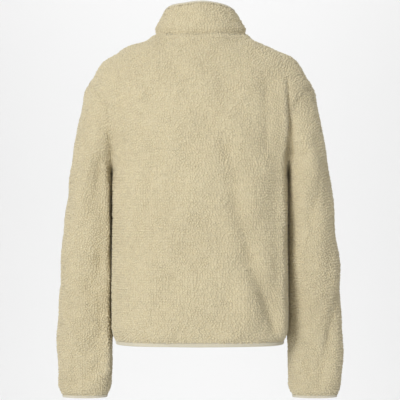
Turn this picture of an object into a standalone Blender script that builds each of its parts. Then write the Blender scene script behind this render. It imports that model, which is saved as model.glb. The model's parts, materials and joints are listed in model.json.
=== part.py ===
"""A fleece track jacket, filled out with nobody in it. Metres, +Z up, front faces -Y, wearer's left at +X.

The origin is the middle of the neck ring. Tables are in millimetres and are turned into metres as they are read.
"""

import math

import bmesh
import bpy
import numpy as np

mm = 0.001

# Cloth and seams
wall = 6.0 * mm
seamGap = 0.15 * mm
edgeGap = 0.3 * mm

# Counts of the grids
sideColumns = 12
neckColumns = 5
armholeSteps = 15
lowerRows = 10
sleeveRows = 17
collarRows = 4

# How the rows and columns close up towards one end, and the side that an end face's diagonal leans to
panelSpread = 0.94
lowerSpread = 1.15
sleeveSpread = 1.08
splitSide = np.array([0.31, 0.52, 1.0])

# Heights that pieces meet at
underarmHeight = -265.0 * mm
shoulderPoint = -106.0 * mm
hemClothEnd = -580.5 * mm
hemEnd = -588.0 * mm
cuffClothEnd = -687.5 * mm
cuffEnd = -693.0 * mm
collarBindingTall = 4.0 * mm
bindingThick = 4.8 * mm
bindingBevel = 1.1 * mm

# Zip
zipHalfOpening = 5.0 * mm
tapeShare = 0.3
tapeLean = 0.5 * mm
tapeThick = 1.2 * mm
beadWide = 3.0 * mm
beadTall = 1.6 * mm
beadInner = 0.25 * mm
openMarks = (15, 11, 7)
openBy = 1.7 * mm
tapeBehind = 0.5 * mm

# Level sections of the body, from above the neck to the hem
bodyColumns = ("height", "halfWidth", "back", "front", "square")
bodyRows = (
    (30, 62, 40, 38, 2.0),
    (0, 84, 60, 56, 2.0),
    (-8, 94, 65, 60, 2.0),
    (-15, 109, 69, 63, 2.0),
    (-27, 139, 76, 69, 2.0),
    (-38, 160, 81, 75, 2.0),
    (-49, 177, 86, 81, 2.0),
    (-61, 189, 91, 87, 2.05),
    (-72, 197, 95, 92, 2.1),
    (-84, 203, 99, 98, 2.15),
    (-95, 208, 103, 104, 2.2),
    (-106, 211, 107, 110, 2.25),
    (-118, 210, 110, 115, 2.3),
    (-142, 200, 114, 122, 2.4),
    (-172, 193, 118, 128, 2.5),
    (-222, 175, 120, 133, 2.6),
    (-265, 166, 119, 133, 2.7),
    (-320, 165, 117, 130, 2.7),
    (-400, 165, 114, 126, 2.7),
    (-500, 165.5, 115, 124, 2.7),
    (-555, 165.5, 116, 124, 2.7),
    (-568, 164, 115, 123, 2.7),
    (-577, 161.5, 113, 120, 2.6),
    (-584, 157, 109, 116, 2.5),
    (-590, 151, 104, 111, 2.4),
)

# Level sections of a sleeve, from the shoulder to the cuff
sleeveColumns = ("height", "inner", "outer", "middle", "halfDeep", "square")
sleeveRowsTable = (
    (-78, 168, 172, -2, 4, 2.0),
    (-86, 150, 190, -2, 26, 2.0),
    (-95, 134, 204, -2, 42, 2.0),
    (-106, 124, 213, -2, 53, 2.1),
    (-118, 120, 218, -2, 60, 2.2),
    (-142, 122, 224, -2, 67, 2.3),
    (-172, 130, 230, -3, 73, 2.3),
    (-200, 142, 235.5, -4, 76, 2.4),
    (-222, 152, 240, -5, 76, 2.4),
    (-245, 161, 243, -6, 76, 2.4),
    (-265, 166, 246, -7, 75, 2.4),
    (-285, 167.4, 249, -8, 73, 2.4),
    (-312, 167.8, 252, -10, 70, 2.4),
    (-380, 167.8, 260, -16, 63, 2.4),
    (-448, 167.8, 266, -22, 57, 2.4),
    (-517, 167.8, 270.5, -29, 51, 2.4),
    (-574, 167.8, 272.5, -34, 46, 2.4),
    (-630, 167.8, 273.5, -40, 41, 2.4),
    (-655, 168.5, 273.3, -42, 39, 2.4),
    (-668, 168.8, 273, -43, 38, 2.3),
    (-678, 171, 270.5, -44, 36.5, 2.2),
    (-686, 175.5, 265.5, -45, 34, 2.2),
    (-694, 181, 259, -45, 31, 2.2),
)
sleeveTop = -78.0 * mm
cuffTilt = 0.14
tiltFrom = -420.0 * mm
tiltOver = 240.0 * mm
tiltMiddle = -40.0 * mm

# How widely the sleeve and the body run into each other, by height
blendColumns = ("height", "reach")
blendRows = ((-60, 22), (-106, 20), (-140, 16), (-180, 9), (-220, 5), (-255, 2.4), (-266, 1.2))

# Neck ring and the collar's top ring, as half widths and depths from above
neckHalfWidth = 84.0 * mm
neckBack = 61.0 * mm
neckFront = 72.0 * mm
topHalfWidth = 70.0 * mm
topBack = 48.0 * mm
topFront = 56.0 * mm
topHeightBack = 56.0 * mm
topHeightSide = 43.0 * mm
topHeightFront = 20.0 * mm
topCurve = 1.6
collarBulge = 3.0 * mm
bulgeSkew = 0.8

# Soft folds, a trough where the depth is below zero. Face is 1 for the back and -1 for the front. Each runs
# from one place past a second to a third, and its depth goes from the start's to the end's.
foldColumns = (
    "face", "fromX", "fromZ", "viaX", "viaZ", "toX", "toZ", "width", "startDepth", "endDepth",
)
foldRows = (
    (1, -52, -215, -76, -390, -142, -548, 17, -4.0, -9.5),
    (1, -76, -455, -84, -500, -96, -546, 20, 3.5, 4.5),
    (1, -147, -390, -149, -450, -150, -520, 13, 3.5, 3.5),
    (1, 76, -195, 90, -310, 122, -415, 19, -3.0, -4.5),
    (1, 104, -140, 84, -160, 58, -178, 30, 3.0, 3.0),
    (1, 98, -495, 80, -535, 60, -560, 24, 4.0, 4.0),
    (1, 20, -290, 20, -320, 24, -350, 28, 3.0, 3.0),
    (1, 151, -88, 151, -110, 150, -132, 9, -2.0, -2.5),
    (1, -124, -98, -127, -160, -126, -218, 13, -4.0, -3.0),
    (1, 150, -150, 150, -200, 146, -245, 12, -2.0, -3.5),
    (-1, 58, -190, 98, -360, 134, -548, 18, -4.5, -7.5),
    (-1, -68, -230, -96, -350, -112, -480, 18, -4.5, -6.0),
    (-1, 58, -475, 70, -515, 86, -556, 20, 3.5, 4.5),
    (-1, -60, -420, -58, -470, -66, -525, 22, 4.5, 3.5),
    (-1, 122, -110, 128, -165, 128, -218, 14, -4.0, -3.0),
    (-1, -122, -110, -130, -160, -130, -218, 14, -4.5, -3.0),
    (1, -222, -205, -238, -280, -206, -352, 14, -4.5, -4.5),
    (1, -264, -500, -246, -580, -226, -668, 13, -4.5, -5.5),
    (1, -262, -440, -266, -520, -268, -600, 40, 3.5, 3.5),
    (1, -196, -555, -204, -580, -218, -602, 12, -4.0, -4.0),
    (1, -188, -606, -196, -624, -208, -644, 10, -3.5, -4.0),
    (1, 186, -240, 188, -290, 198, -335, 14, -3.0, -3.5),
    (1, 184, -428, 192, -456, 207, -482, 14, -3.0, -3.5),
    (1, 182, -558, 194, -582, 210, -602, 13, -3.5, -4.0),
    (1, 186, -620, 198, -638, 216, -654, 11, -3.5, -4.0),
    (1, 252, -596, 244, -630, 236, -664, 12, -2.5, -3.5),
    (-1, 188, -296, 200, -340, 216, -384, 14, -4.0, -4.5),
    (-1, -188, -316, -200, -360, -218, -404, 14, -4.0, -4.5),
    (-1, 242, -535, 228, -580, 214, -624, 13, -4.5, -5.0),
    (-1, -242, -556, -228, -600, -214, -644, 13, -4.5, -5.0),
)
foldSteps = 5

# Slow unevenness of the fleece over the whole jacket
waveColumns = ("alongX", "alongY", "alongZ", "shift", "depth")
waveRows = (
    (110, 150, 190, 0.4, 1.1),
    (-74, 120, 96, 1.9, 0.9),
    (62, -88, 140, 3.1, 0.7),
)
zipCalm = 26.0 * mm
seamDip = 2.2 * mm
seamDipWide = 7.0 * mm
neckRidge = 2.5 * mm
neckRidgeBelow = 10.0 * mm
neckRidgeWide = 6.0 * mm
endCalm = 18.0 * mm

# Where sleeve and body hang close together, nothing stands out
sideLine = 166.5 * mm
closeWide = 10.0 * mm
closeAbove = 30.0 * mm

# Slider, pull and box
sliderHalfWide = 4.8 * mm
sliderTall = 13.0 * mm
sliderPlate = 1.1 * mm
sliderPost = 1.4 * mm
postBelow = 4.0 * mm
postAbove = 0.5 * mm
sliderPlay = 0.8 * mm
sliderBelowTop = 9.0 * mm
bailReach = 4.4 * mm
bailBar = 1.2 * mm
bailWide = 2.2 * mm
bailLow = -3.2 * mm
bailHigh = 3.8 * mm
bailRoot = 0.4 * mm
eyeInset = 0.2 * mm
pullPlay = 0.5 * mm
pullRise = 0.4 * mm
pullLong = 26.0 * mm
pullWide = 7.0 * mm
pullThick = 1.6 * mm
pullBar = 1.4 * mm
pullSlotTall = 4.2 * mm
pullSlotWide = 3.6 * mm
boxDrop = 0.9 * mm
boxWide = 8.6 * mm
boxTall = 6.6 * mm
boxThick = 4.4 * mm

fleeceColour = (0.62, 0.54, 0.36, 1.0)
bindingColour = (0.70, 0.65, 0.52, 1.0)
tapeColour = (0.52, 0.46, 0.32, 1.0)
metalColour = (0.55, 0.53, 0.48, 1.0)


def steady(xs, ys):
    """A smooth curve through the points that adds no hump between them, read off at any place."""
    steps = np.diff(xs)
    slopes = np.diff(ys) / steps
    inner = np.where(
        slopes[:-1] * slopes[1:] > 0,
        2 * slopes[:-1] * slopes[1:] / np.where(slopes[:-1] + slopes[1:] == 0, 1, slopes[:-1] + slopes[1:]),
        0.0,
    )
    tilt = np.concatenate([slopes[:1], inner, slopes[-1:]])
    places, values = [], []
    for i in range(len(steps)):
        u = np.linspace(0, 1, 24, endpoint=i == len(steps) - 1)
        places.append(xs[i] + u * steps[i])
        values.append(
            ys[i] * (1 + 2 * u) * (1 - u) ** 2
            + ys[i + 1] * u * u * (3 - 2 * u)
            + steps[i] * (tilt[i] * u * (1 - u) ** 2 - tilt[i + 1] * u * u * (1 - u))
        )
    places, values = np.concatenate(places), np.concatenate(values)
    return lambda v: np.interp(v, places, values)


def columnCurves(columns, rows, plain=()):
    """One smooth curve of height for each named column of a table."""
    table = np.array(rows, float)[::-1]
    heights = table[:, 0] * mm
    curves = {}
    for i, name in enumerate(columns[1:], 1):
        curves[name] = steady(heights, table[:, i] * (1.0 if name in plain else mm))
    return curves


body = columnCurves(bodyColumns, bodyRows, ("square",))
sleeve = columnCurves(sleeveColumns, sleeveRowsTable, ("square",))
blend = columnCurves(blendColumns, blendRows)


def sectionGap(x, y, halfWide, halfDeep, square):
    """How far a point is outside a level section, negative inside."""
    u = np.abs(x) / halfWide + 1e-9
    v = np.abs(y) / halfDeep + 1e-9
    reach = (u**square + v**square) ** (1 / square)
    across = (u / reach) ** (square - 1) / halfWide
    along = (v / reach) ** (square - 1) / halfDeep
    return (reach - 1) / np.hypot(across, along)


def bodyGap(p):
    x, y, z = p[..., 0], p[..., 1], p[..., 2]
    deep = np.where(y > 0, body["back"](z), body["front"](z))
    return sectionGap(x, y, body["halfWidth"](z), deep, body["square"](z))


def sleeveLevel(p):
    """The height that the tilted cuff's sections are read at."""
    tilt = cuffTilt * np.clip((tiltFrom - p[..., 2]) / tiltOver, 0, 1)
    return p[..., 2] + tilt * (p[..., 1] - tiltMiddle)


def sleeveGap(p):
    z = sleeveLevel(p)
    inner, outer = sleeve["inner"](z), sleeve["outer"](z)
    gap = sectionGap(
        np.abs(p[..., 0]) - (inner + outer) / 2,
        p[..., 1] - sleeve["middle"](z),
        (outer - inner) / 2,
        sleeve["halfDeep"](z),
        sleeve["square"](z),
    )
    return gap + np.maximum(0, p[..., 2] - sleeveTop)


def unionGap(p):
    one, two, reach = bodyGap(p), sleeveGap(p), blend["reach"](p[..., 2])
    share = np.clip(0.5 + 0.5 * (two - one) / reach, 0, 1)
    return two * (1 - share) + one * share - reach * share * (1 - share)


def bodySurface(p):
    return np.where(p[..., 2] > underarmHeight, unionGap(p), bodyGap(p))


def sleeveSurface(p):
    return np.where(p[..., 2] > underarmHeight, unionGap(p), sleeveGap(p))


def slopeOf(gap, p, step=0.2 * mm):
    slope = np.empty(p.shape)
    for axis in range(3):
        move = np.zeros(3)
        move[axis] = step
        slope[..., axis] = (gap(p + move) - gap(p - move)) / (2 * step)
    return slope


def unit(v):
    return v / np.maximum(np.linalg.norm(v, axis=-1, keepdims=True), 1e-12)


def settled(p, gap, rounds=16):
    """The points moved on to the surface, straight along its slope."""
    for _ in range(rounds):
        slope = slopeOf(gap, p)
        size = np.linalg.norm(slope, axis=-1, keepdims=True)
        move = np.clip(gap(p)[..., None] / np.maximum(size, 0.2), -12 * mm, 12 * mm)
        p = p - 0.9 * move * slope / np.maximum(size, 1e-9)
    return p


def bodyPoint(turn, z):
    """A point of the body's own section: turn is 0 at the side, a right angle at the back's middle."""
    c, s = np.cos(turn), np.sin(turn)
    power = 2 / body["square"](z)
    deep = np.where(s > 0, body["back"](z), body["front"](z))
    x = body["halfWidth"](z) * np.sign(c) * np.abs(c) ** power
    return np.stack([x, deep * np.sign(s) * np.abs(s) ** power, z + 0 * x], axis=-1)


def sleevePoint(turn, z):
    """A point of the sleeve's own section: turn is 0 outside, a right angle at the back."""
    c, s = np.cos(turn), np.sin(turn)
    level = z
    for _ in range(6):
        power = 2 / sleeve["square"](level)
        inner, outer = sleeve["inner"](level), sleeve["outer"](level)
        x = (inner + outer) / 2 + (outer - inner) / 2 * np.sign(c) * np.abs(c) ** power
        y = sleeve["middle"](level) + sleeve["halfDeep"](level) * np.sign(s) * np.abs(s) ** power
        level = sleeveLevel(np.stack([x, y, z + 0 * x], axis=-1))
    return np.stack([x, y, z + 0 * x], axis=-1)


def armholeLoop():
    """Where the sleeve meets the body, from the underarm up the back to the shoulder and down the front."""
    turns = np.linspace(np.pi, -np.pi, 2 * armholeSteps + 1)[:-1]
    low = np.full(turns.shape, underarmHeight)
    heights = np.linspace(underarmHeight, -90 * mm, 800)
    found = np.full(turns.shape, shoulderPoint)
    for i, turn in enumerate(turns):
        outside = bodyGap(sleevePoint(np.full(heights.shape, turn), heights)) > 0
        inside = np.nonzero(~outside)[0]
        found[i] = heights[inside[0]] if len(inside) else shoulderPoint
    found = np.where(np.abs(np.abs(turns) - np.pi) < 1e-6, low, found)
    loop = sleevePoint(turns, found)
    loop[0] = (body["halfWidth"](underarmHeight), 0.0, underarmHeight)
    return turns, loop


loopTurns, loopRaw = armholeLoop()
loopSlope = unit(unit(slopeOf(bodyGap, loopRaw)) + unit(slopeOf(sleeveGap, loopRaw)))
loopSlope[0] = (0.0, 0.0, -1.0)


def loopSettled():
    """The armhole's points moved out on to the blended surface, and no point at the underarm moved."""
    p = loopRaw.copy()
    for _ in range(12):
        move = np.clip(unionGap(p), -8 * mm, 8 * mm)
        move[0] = 0.0
        p = p - move[:, None] * loopSlope * 0.8
    return p


loopOuter = loopSettled()
loopAlong = unit(np.roll(loopOuter, -1, axis=0) - np.roll(loopOuter, 1, axis=0))
loopAcross = unit(np.cross(loopAlong, loopSlope))
if loopAcross[:, 0].mean() < 0:
    loopAcross = -loopAcross


neckStart = math.acos(zipHalfOpening / neckHalfWidth)


def neckPoints(turns):
    """The neck seam: the body's surface under an oval seen from above. Turn is 0 at the side."""
    x = neckHalfWidth * np.cos(turns)
    y = np.where(np.sin(turns) > 0, neckBack, neckFront) * np.sin(turns)
    high, low = np.full(x.shape, 29 * mm), np.full(x.shape, -90 * mm)
    for _ in range(40):
        z = (high + low) / 2
        out = bodyGap(np.stack([x, y, z], axis=-1)) > 0
        high, low = np.where(out, z, high), np.where(out, low, z)
    return np.stack([x, y, (high + low) / 2], axis=-1)


def onFace(face, x, z):
    """The place on the outer surface at this width and height, on the back or the front."""
    near, far = 0.0, 0.2
    start = 0.0 if abs(x) < 0.16 else float(sleeve["middle"](z))
    for _ in range(40):
        y = (near + far) / 2
        if unionGap(np.array([x, start + face * y, z])) > 0:
            far = y
        else:
            near = y
    return np.array([x, start + face * near, z])


def foldLines():
    """Each fold as a bent line on the surface, with its width and its two depths."""
    lines = []
    for row in foldRows:
        fold = dict(zip(foldColumns, row))
        line = []
        for t in np.linspace(0, 1, foldSteps + 1):
            early, late = (1 - t) ** 2, t**2
            x = early * fold["fromX"] + 2 * t * (1 - t) * fold["viaX"] + late * fold["toX"]
            z = early * fold["fromZ"] + 2 * t * (1 - t) * fold["viaZ"] + late * fold["toZ"]
            line.append(onFace(fold["face"], x * mm, z * mm))
        lines.append((line, fold["width"] * mm, fold["startDepth"] * mm, fold["endDepth"] * mm))
    return lines


folds = foldLines()
neckRing = neckPoints(np.linspace(-math.pi, math.pi, 73))


def nearestOnLine(p, line):
    """The distance of each point from a run of straight pieces, and how far along it the nearest place is."""
    best, place = np.full(p.shape[:-1], 9.0), np.zeros(p.shape[:-1])
    for i, (a, b) in enumerate(zip(line[:-1], line[1:])):
        along = b - a
        t = np.clip(((p - a) @ along) / max(along @ along, 1e-12), 0, 1)
        away = np.linalg.norm(p - a - t[..., None] * along, axis=-1)
        place = np.where(away < best, (i + t) / (len(line) - 1), place)
        best = np.minimum(best, away)
    return best, place


def relief(p):
    """How far the cloth stands out from its plain form at each point: folds, waves and the dips at seams."""
    height = np.zeros(p.shape[:-1])
    for line, width, startDepth, endDepth in folds:
        away, place = nearestOnLine(p, line)
        height += (startDepth + (endDepth - startDepth) * place) * np.exp(-((away / width) ** 2))
    calmAtZip = np.where(p[..., 1] < 0, 1 - np.exp(-((p[..., 0] / zipCalm) ** 2)), 1.0)
    for row in waveRows:
        wave = dict(zip(waveColumns, row))
        phase = sum(p[..., i] / (wave[name] * mm) for i, name in enumerate(waveColumns[:3]))
        height += wave["depth"] * mm * calmAtZip * np.sin(2 * np.pi * phase + wave["shift"])
    mirrored = np.stack([np.abs(p[..., 0]), p[..., 1], p[..., 2]], axis=-1)
    toArmhole, _ = nearestOnLine(mirrored, np.concatenate([loopOuter, loopOuter[:1]]))
    height -= seamDip * np.exp(-((toArmhole / seamDipWide) ** 2))
    toNeck, _ = nearestOnLine(p, neckRing)
    height += neckRidge * np.exp(-(((toNeck - neckRidgeBelow) / neckRidgeWide) ** 2))
    cuff = np.clip((p[..., 2] - cuffEnd) / endCalm, 0, 1)
    hem = np.clip((p[..., 2] - hemEnd) / endCalm, 0, 1)
    onBody = (np.abs(p[..., 0]) < sideLine) & (p[..., 2] < underarmHeight)
    height = height * np.where(onBody, hem, cuff)
    fromSide = np.abs(np.abs(p[..., 0]) - sideLine)
    close = (p[..., 2] < underarmHeight + closeAbove) & (fromSide < closeWide)
    return np.where(close, np.minimum(height, 0) * fromSide / closeWide, height)


def blendGrid(bottom, top, left, right):
    """A grid of turns and heights filled in between its four edges. Rows run bottom to top."""
    rows, columns = len(left), len(bottom)
    s = np.linspace(0, 1, columns)[None, :, None]
    t = np.linspace(0, 1, rows)[:, None, None]
    corners = (
        (1 - s) * (1 - t) * bottom[0]
        + s * (1 - t) * bottom[-1]
        + (1 - s) * t * top[0]
        + s * t * top[-1]
    )
    return (1 - t) * bottom[None] + t * top[None] + (1 - s) * left[:, None] + s * right[:, None] - corners


def halfPanel(back):
    """Half a back panel, or a front panel, at +X: outer points, and the slope of the surface at each."""
    sign = 1 if back else -1
    steps = armholeSteps
    armhole = loopOuter[: steps + 1] if back else np.roll(loopOuter[::-1], 1, axis=0)[: steps + 1]
    slopes = loopSlope[: steps + 1] if back else np.roll(loopSlope[::-1], 1, axis=0)[: steps + 1]
    across = loopAcross[: steps + 1] if back else np.roll(loopAcross[::-1], 1, axis=0)[: steps + 1]
    raw = loopRaw[: steps + 1] if back else np.roll(loopRaw[::-1], 1, axis=0)[: steps + 1]

    share = np.linspace(0, 1, sideColumns + 1) ** panelSpread
    lower = hemClothEnd + (underarmHeight - hemClothEnd) * np.linspace(0, 1, lowerRows + 1) ** lowerSpread
    middle = math.pi / 2 if back else -np.arccos(
        (zipHalfOpening / body["halfWidth"](lower)) ** (body["square"](lower) / 2)
    )
    lowerTurns = (middle * np.ones(lower.shape))[:, None] * (1 - share)[None]
    lowerGrid = bodyPoint(lowerTurns, lower[:, None] + 0 * lowerTurns)

    neckTurns = np.linspace(math.pi / 2 if back else -neckStart, 0, neckColumns + 1)
    neck, neckSlope = neckSeam(neckTurns)
    ridge = np.linspace(neck[-1, 2], raw[-1, 2], sideColumns - neckColumns + 1)[1:]
    top = np.concatenate([neck, bodyPoint(0 * ridge, ridge)])
    heights = np.linspace(underarmHeight, neck[0, 2], steps + 1)
    if back:
        turns = 0 * heights + math.pi / 2
    else:
        turns = -np.arccos((zipHalfOpening / body["halfWidth"](heights)) ** (body["square"](heights) / 2))
    inner = bodyPoint(turns, heights)
    inner[-1] = neck[0]
    upperGrid = blendGrid(lowerGrid[-1], top, inner, raw)
    grid = np.concatenate([lowerGrid[:-1], upperGrid])
    points = settled(grid, bodySurface)
    points[: lowerRows + 1, -1, 1] = 0.0
    points[-1, neckColumns:, 1] = 0.0
    if back:
        points[:, 0, 0] = 0.0
    else:
        points[:, 0, 0] = zipHalfOpening
    points[0, :, 2] = hemClothEnd
    slope = unit(slopeOf(bodySurface, points))
    if back:
        slope[:, 0, 0] = 0.0
    slope[-1, neckColumns:, 1] = 0.0
    slope[: lowerRows + 1, -1, 1] = 0.0
    slope[0, :, 2] = 0.0
    slope = unit(slope)
    points[-1, : neckColumns + 1] = neck
    points[lowerRows:, -1] = armhole
    slope[lowerRows:, -1] = slopes
    slope[-1, -1, 1] = 0.0
    slope = unit(slope)
    slope[-1, : neckColumns + 1] = neckSlope
    shift = np.zeros(points.shape)
    shift[lowerRows:, -1] -= across * seamGap
    shift[:lowerRows, -1] += np.array([0.0, sign, 0.0]) * seamGap
    shift[-1, neckColumns:] += np.array([0.0, sign, 0.0]) * seamGap
    down = unit(points[-2] - points[-1])
    shift[-1, : neckColumns + 1] += down[: neckColumns + 1] * seamGap
    return points, slope, shift


def collarTop(turns):
    """The collar's top edge, before its binding."""
    s = np.sin(turns)
    deep = np.where(s > 0, topBack, topFront)
    end = np.where(s > 0, topHeightBack, topHeightFront)
    z = topHeightSide + (end - topHeightSide) * np.abs(s) ** topCurve
    return np.stack([topHalfWidth * np.cos(turns), deep * s, z], axis=-1)


def topTurn(turns, topStart):
    """The top ring's turn for a front turn of the neck ring, so that both end at the zip's opening."""
    fromSide = np.where(np.cos(turns) > 0, turns, np.sign(turns) * math.pi - turns)
    wrapped = np.where(turns > math.pi, math.pi - turns, fromSide)
    scaled = wrapped * topStart / neckStart
    return np.where(np.cos(turns) > 0, scaled, math.pi - scaled)


def collarBase(turns):
    """The outward direction of the collar's cloth at the neck seam."""
    step = 0.01
    along = neckPoints(turns + step) - neckPoints(turns - step)
    up = collarTop(turns) - neckPoints(turns)
    return unit(np.cross(along, up))


def neckSeam(turns):
    """The neck seam's points, and the direction halfway between the body's outward one and the collar's."""
    base = neckPoints(turns)
    slope = unit(slopeOf(bodySurface, base)) + collarBase(turns)
    slope[:, 1] = np.where(np.abs(np.sin(turns)) < 1e-6, 0.0, slope[:, 1])
    slope[:, 0] = np.where(np.abs(base[:, 0]) < zipHalfOpening * 1.001, 0.0, slope[:, 0])
    return base, unit(slope)


def meshObject(name, points, faces, colour, rough, metallic=0.0):
    mesh = bpy.data.meshes.new(name)
    mesh.from_pydata([tuple(float(c) for c in p) for p in points], [], faces)
    mesh.update()
    built = bpy.data.objects.new(name, mesh)
    bpy.context.scene.collection.objects.link(built)
    work = bmesh.new()
    work.from_mesh(mesh)
    bmesh.ops.triangulate(work, faces=[f for f in work.faces if len(f.verts) > 3])
    if work.calc_volume(signed=True) < 0:
        bmesh.ops.reverse_faces(work, faces=work.faces[:])
    work.to_mesh(mesh)
    work.free()
    mesh.shade_smooth()
    mesh.set_sharp_from_angle(angle=math.radians(50))
    material = bpy.data.materials.new(name)
    material.use_nodes = True
    surface = material.node_tree.nodes["Principled BSDF"]
    surface.inputs["Base Color"].default_value = colour
    surface.inputs["Roughness"].default_value = rough
    surface.inputs["Metallic"].default_value = metallic
    mesh.materials.append(material)
    return built


def clothFaces(points, rows, columns, ring):
    """Triangles of a wall whose outer points come first and its inner points after them."""
    total = rows * columns
    faces = []
    last = columns if ring else columns - 1

    def at(row, column, layer):
        return layer * total + row * columns + column % columns

    for row in range(rows - 1):
        for column in range(last):
            corners = [(row, column), (row, column + 1), (row + 1, column + 1), (row + 1, column)]
            outer = [at(r, c, 0) for r, c in corners]
            if (row + column) % 2:
                outer = outer[1:] + outer[:1]
            faces += [outer[:3], [outer[0], outer[2], outer[3]]]
            faces += [[outer[i] + total for i in (2, 1, 0)], [outer[i] + total for i in (3, 2, 0)]]
    edges = []
    for column in range(last):
        edges.append(((0, column + 1), (0, column)))
        edges.append(((rows - 1, column), (rows - 1, column + 1)))
    if not ring:
        for row in range(rows - 1):
            edges.append(((row, 0), (row + 1, 0)))
            edges.append(((row + 1, columns - 1), (row, columns - 1)))
    for one, two in edges:
        a, b = at(*one, 0), at(*two, 0)
        c, d = at(*two, 1), at(*one, 1)
        if (points[a] - points[b]) @ splitSide > 0:
            faces += [[a, b, c], [a, c, d]]
        else:
            faces += [[a, b, d], [b, c, d]]
    return faces


def clothWall(name, points, slope, shift, ring=False):
    """A named cloth piece: the settled grid, moved by its folds, with the wall's inner side behind it."""
    outer = points + slope * relief(points)[..., None] + shift
    inner = outer - slope * wall
    flat = np.concatenate([outer.reshape(-1, 3), inner.reshape(-1, 3)])
    faces = clothFaces(flat, outer.shape[0], outer.shape[1], ring)
    meshObject(name, flat, faces, fleeceColour, 0.95)
    return outer, inner


def mirrored(grid):
    """The same grid at -X, its columns running the other way."""
    return (grid * np.array([-1.0, 1.0, 1.0]))[:, ::-1]


def makeBody():
    right = halfPanel(True)
    whole = [np.concatenate([mirrored(part), part[:, 1:]], axis=1) for part in right]
    back = clothWall("back", *whole)
    left = halfPanel(False)
    frontLeft = clothWall("front_left", *left)
    frontRight = clothWall("front_right", *[mirrored(part) for part in left])
    return back, frontLeft, frontRight


def makeSleeve(name, side):
    share = np.linspace(0, 1, sleeveRows + 1) ** sleeveSpread
    grid = np.empty((sleeveRows + 1, len(loopTurns), 3))
    for i, turn in enumerate(loopTurns):
        heights = loopRaw[i, 2] * (1 - share) + cuffClothEnd * share
        grid[:, i] = sleevePoint(np.full(heights.shape, turn), heights)
    points = settled(grid, sleeveSurface)
    slope = unit(slopeOf(sleeveSurface, points))
    points[0] = loopOuter
    slope[0] = loopSlope
    slope[-1, :, 2] = 0.0
    slope = unit(slope)
    shift = np.zeros(points.shape)
    shift[0] += loopAcross * seamGap
    flip = np.array([side, 1.0, 1.0])
    return clothWall(name, points * flip, slope * flip, shift * flip, ring=True)


def makeCollar():
    front = np.linspace(-neckStart, 0, neckColumns + 1)
    back = np.linspace(0, math.pi, 2 * neckColumns + 1)[1:-1]
    turns = np.concatenate([front, back, math.pi - front[::-1]])
    base, baseSlope = neckSeam(turns)
    topStart = math.acos(zipHalfOpening / topHalfWidth)
    top = collarTop(np.where(np.sin(turns) < 0, topTurn(turns, topStart), turns))
    share = np.linspace(0, 1, collarRows + 1)[:, None, None]
    bulge = collarBulge * np.sin(np.pi * share**bulgeSkew)
    points = base * (1 - share) + top * share + collarBase(turns) * bulge
    points[:, 0, 0] = zipHalfOpening
    points[:, -1, 0] = -zipHalfOpening
    slope = unit(np.cross(np.gradient(points, axis=1), np.gradient(points, axis=0)))
    slope[:, 0, 0] = 0.0
    slope[:, -1, 0] = 0.0
    slope = unit(slope)
    slope[0] = baseSlope
    shift = np.zeros(points.shape)
    shift[0] += unit(points[1] - points[0]) * seamGap
    return clothWall("collar", points, slope, shift)


def bindingStrip(name, outerEdge, innerEdge, beforeEdge, tall, thick, ring):
    """A flat strip round the end of a cloth wall: its section rides on the wall's edge."""
    middle = (outerEdge + innerEdge) / 2
    out = unit(outerEdge - innerEdge)
    down = unit(middle - beforeEdge)
    down = unit(down - out * (down * out).sum(-1, keepdims=True))
    bevel = bindingBevel
    section = (
        (-thick / 2 + bevel, 0),
        (thick / 2 - bevel, 0),
        (thick / 2, bevel),
        (thick / 2, tall - bevel),
        (thick / 2 - bevel, tall),
        (-thick / 2 + bevel, tall),
        (-thick / 2, tall - bevel),
        (-thick / 2, bevel),
    )
    count, sides = len(middle), len(section)
    points = np.empty((count, sides, 3))
    for i, (across, along) in enumerate(section):
        points[:, i] = middle + out * across + down * (along + edgeGap)
    faces = []
    for i in range(count if ring else count - 1):
        for j in range(sides):
            a, b = i * sides + j, i * sides + (j + 1) % sides
            c, d = ((i + 1) % count) * sides + (j + 1) % sides, ((i + 1) % count) * sides + j
            faces += [[a, b, c], [a, c, d]]
    if not ring:
        faces.append(list(range(sides))[::-1])
        faces.append([(count - 1) * sides + j for j in range(sides)])
    meshObject(name, points.reshape(-1, 3), faces, bindingColour, 0.9)
    return points


def chainLines(panel, collar, column):
    """The inner side of one column of the front and the collar, hem to top, and its outward direction."""
    outer = np.concatenate([panel[0][:, column], collar[0][1:, column]])
    inner = np.concatenate([panel[1][:, column], collar[1][1:, column]])
    return inner, unit(outer - inner)


def resampled(line, spots, places):
    return np.stack([np.interp(places, spots, line[:, i]) for i in range(3)], axis=-1)


def zipTape(name, side, middle, away, edge, edgeAway, opening):
    """One tape with its bead of teeth, as one section run along the zip's line, close behind the front."""
    back = -tapeBehind - tapeThick
    front = -tapeBehind
    section = (
        (0.0, back),
        (0.0, front + beadTall * 0.7),
        (beadWide * 0.2, front + beadTall),
        (beadWide * 0.8, front + beadTall),
        (beadWide, front + beadTall * 0.7),
        (beadWide, front),
    )
    points = []
    for i, gap in enumerate(opening):
        lift = edgeAway[i] * (front - tapeLean)
        points.append(edge[i] + edgeAway[i] * (back - tapeLean))
        points += [
            middle[i] + away[i] * depth + np.array([side * (gap + across), 0.0, 0.0])
            for across, depth in section
        ]
        points.append(edge[i] + lift)
    sides, count = len(section) + 2, len(opening)
    faces = []
    for i in range(count - 1):
        for j in range(sides):
            a, b = i * sides + j, i * sides + (j + 1) % sides
            c, d = (i + 1) * sides + (j + 1) % sides, (i + 1) * sides + j
            faces += [[a, b, c], [a, c, d]]
    faces.append(list(range(sides))[::-1])
    faces.append([(count - 1) * sides + j for j in range(sides)])
    meshObject(name, points, faces, tapeColour, 0.85)


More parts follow.
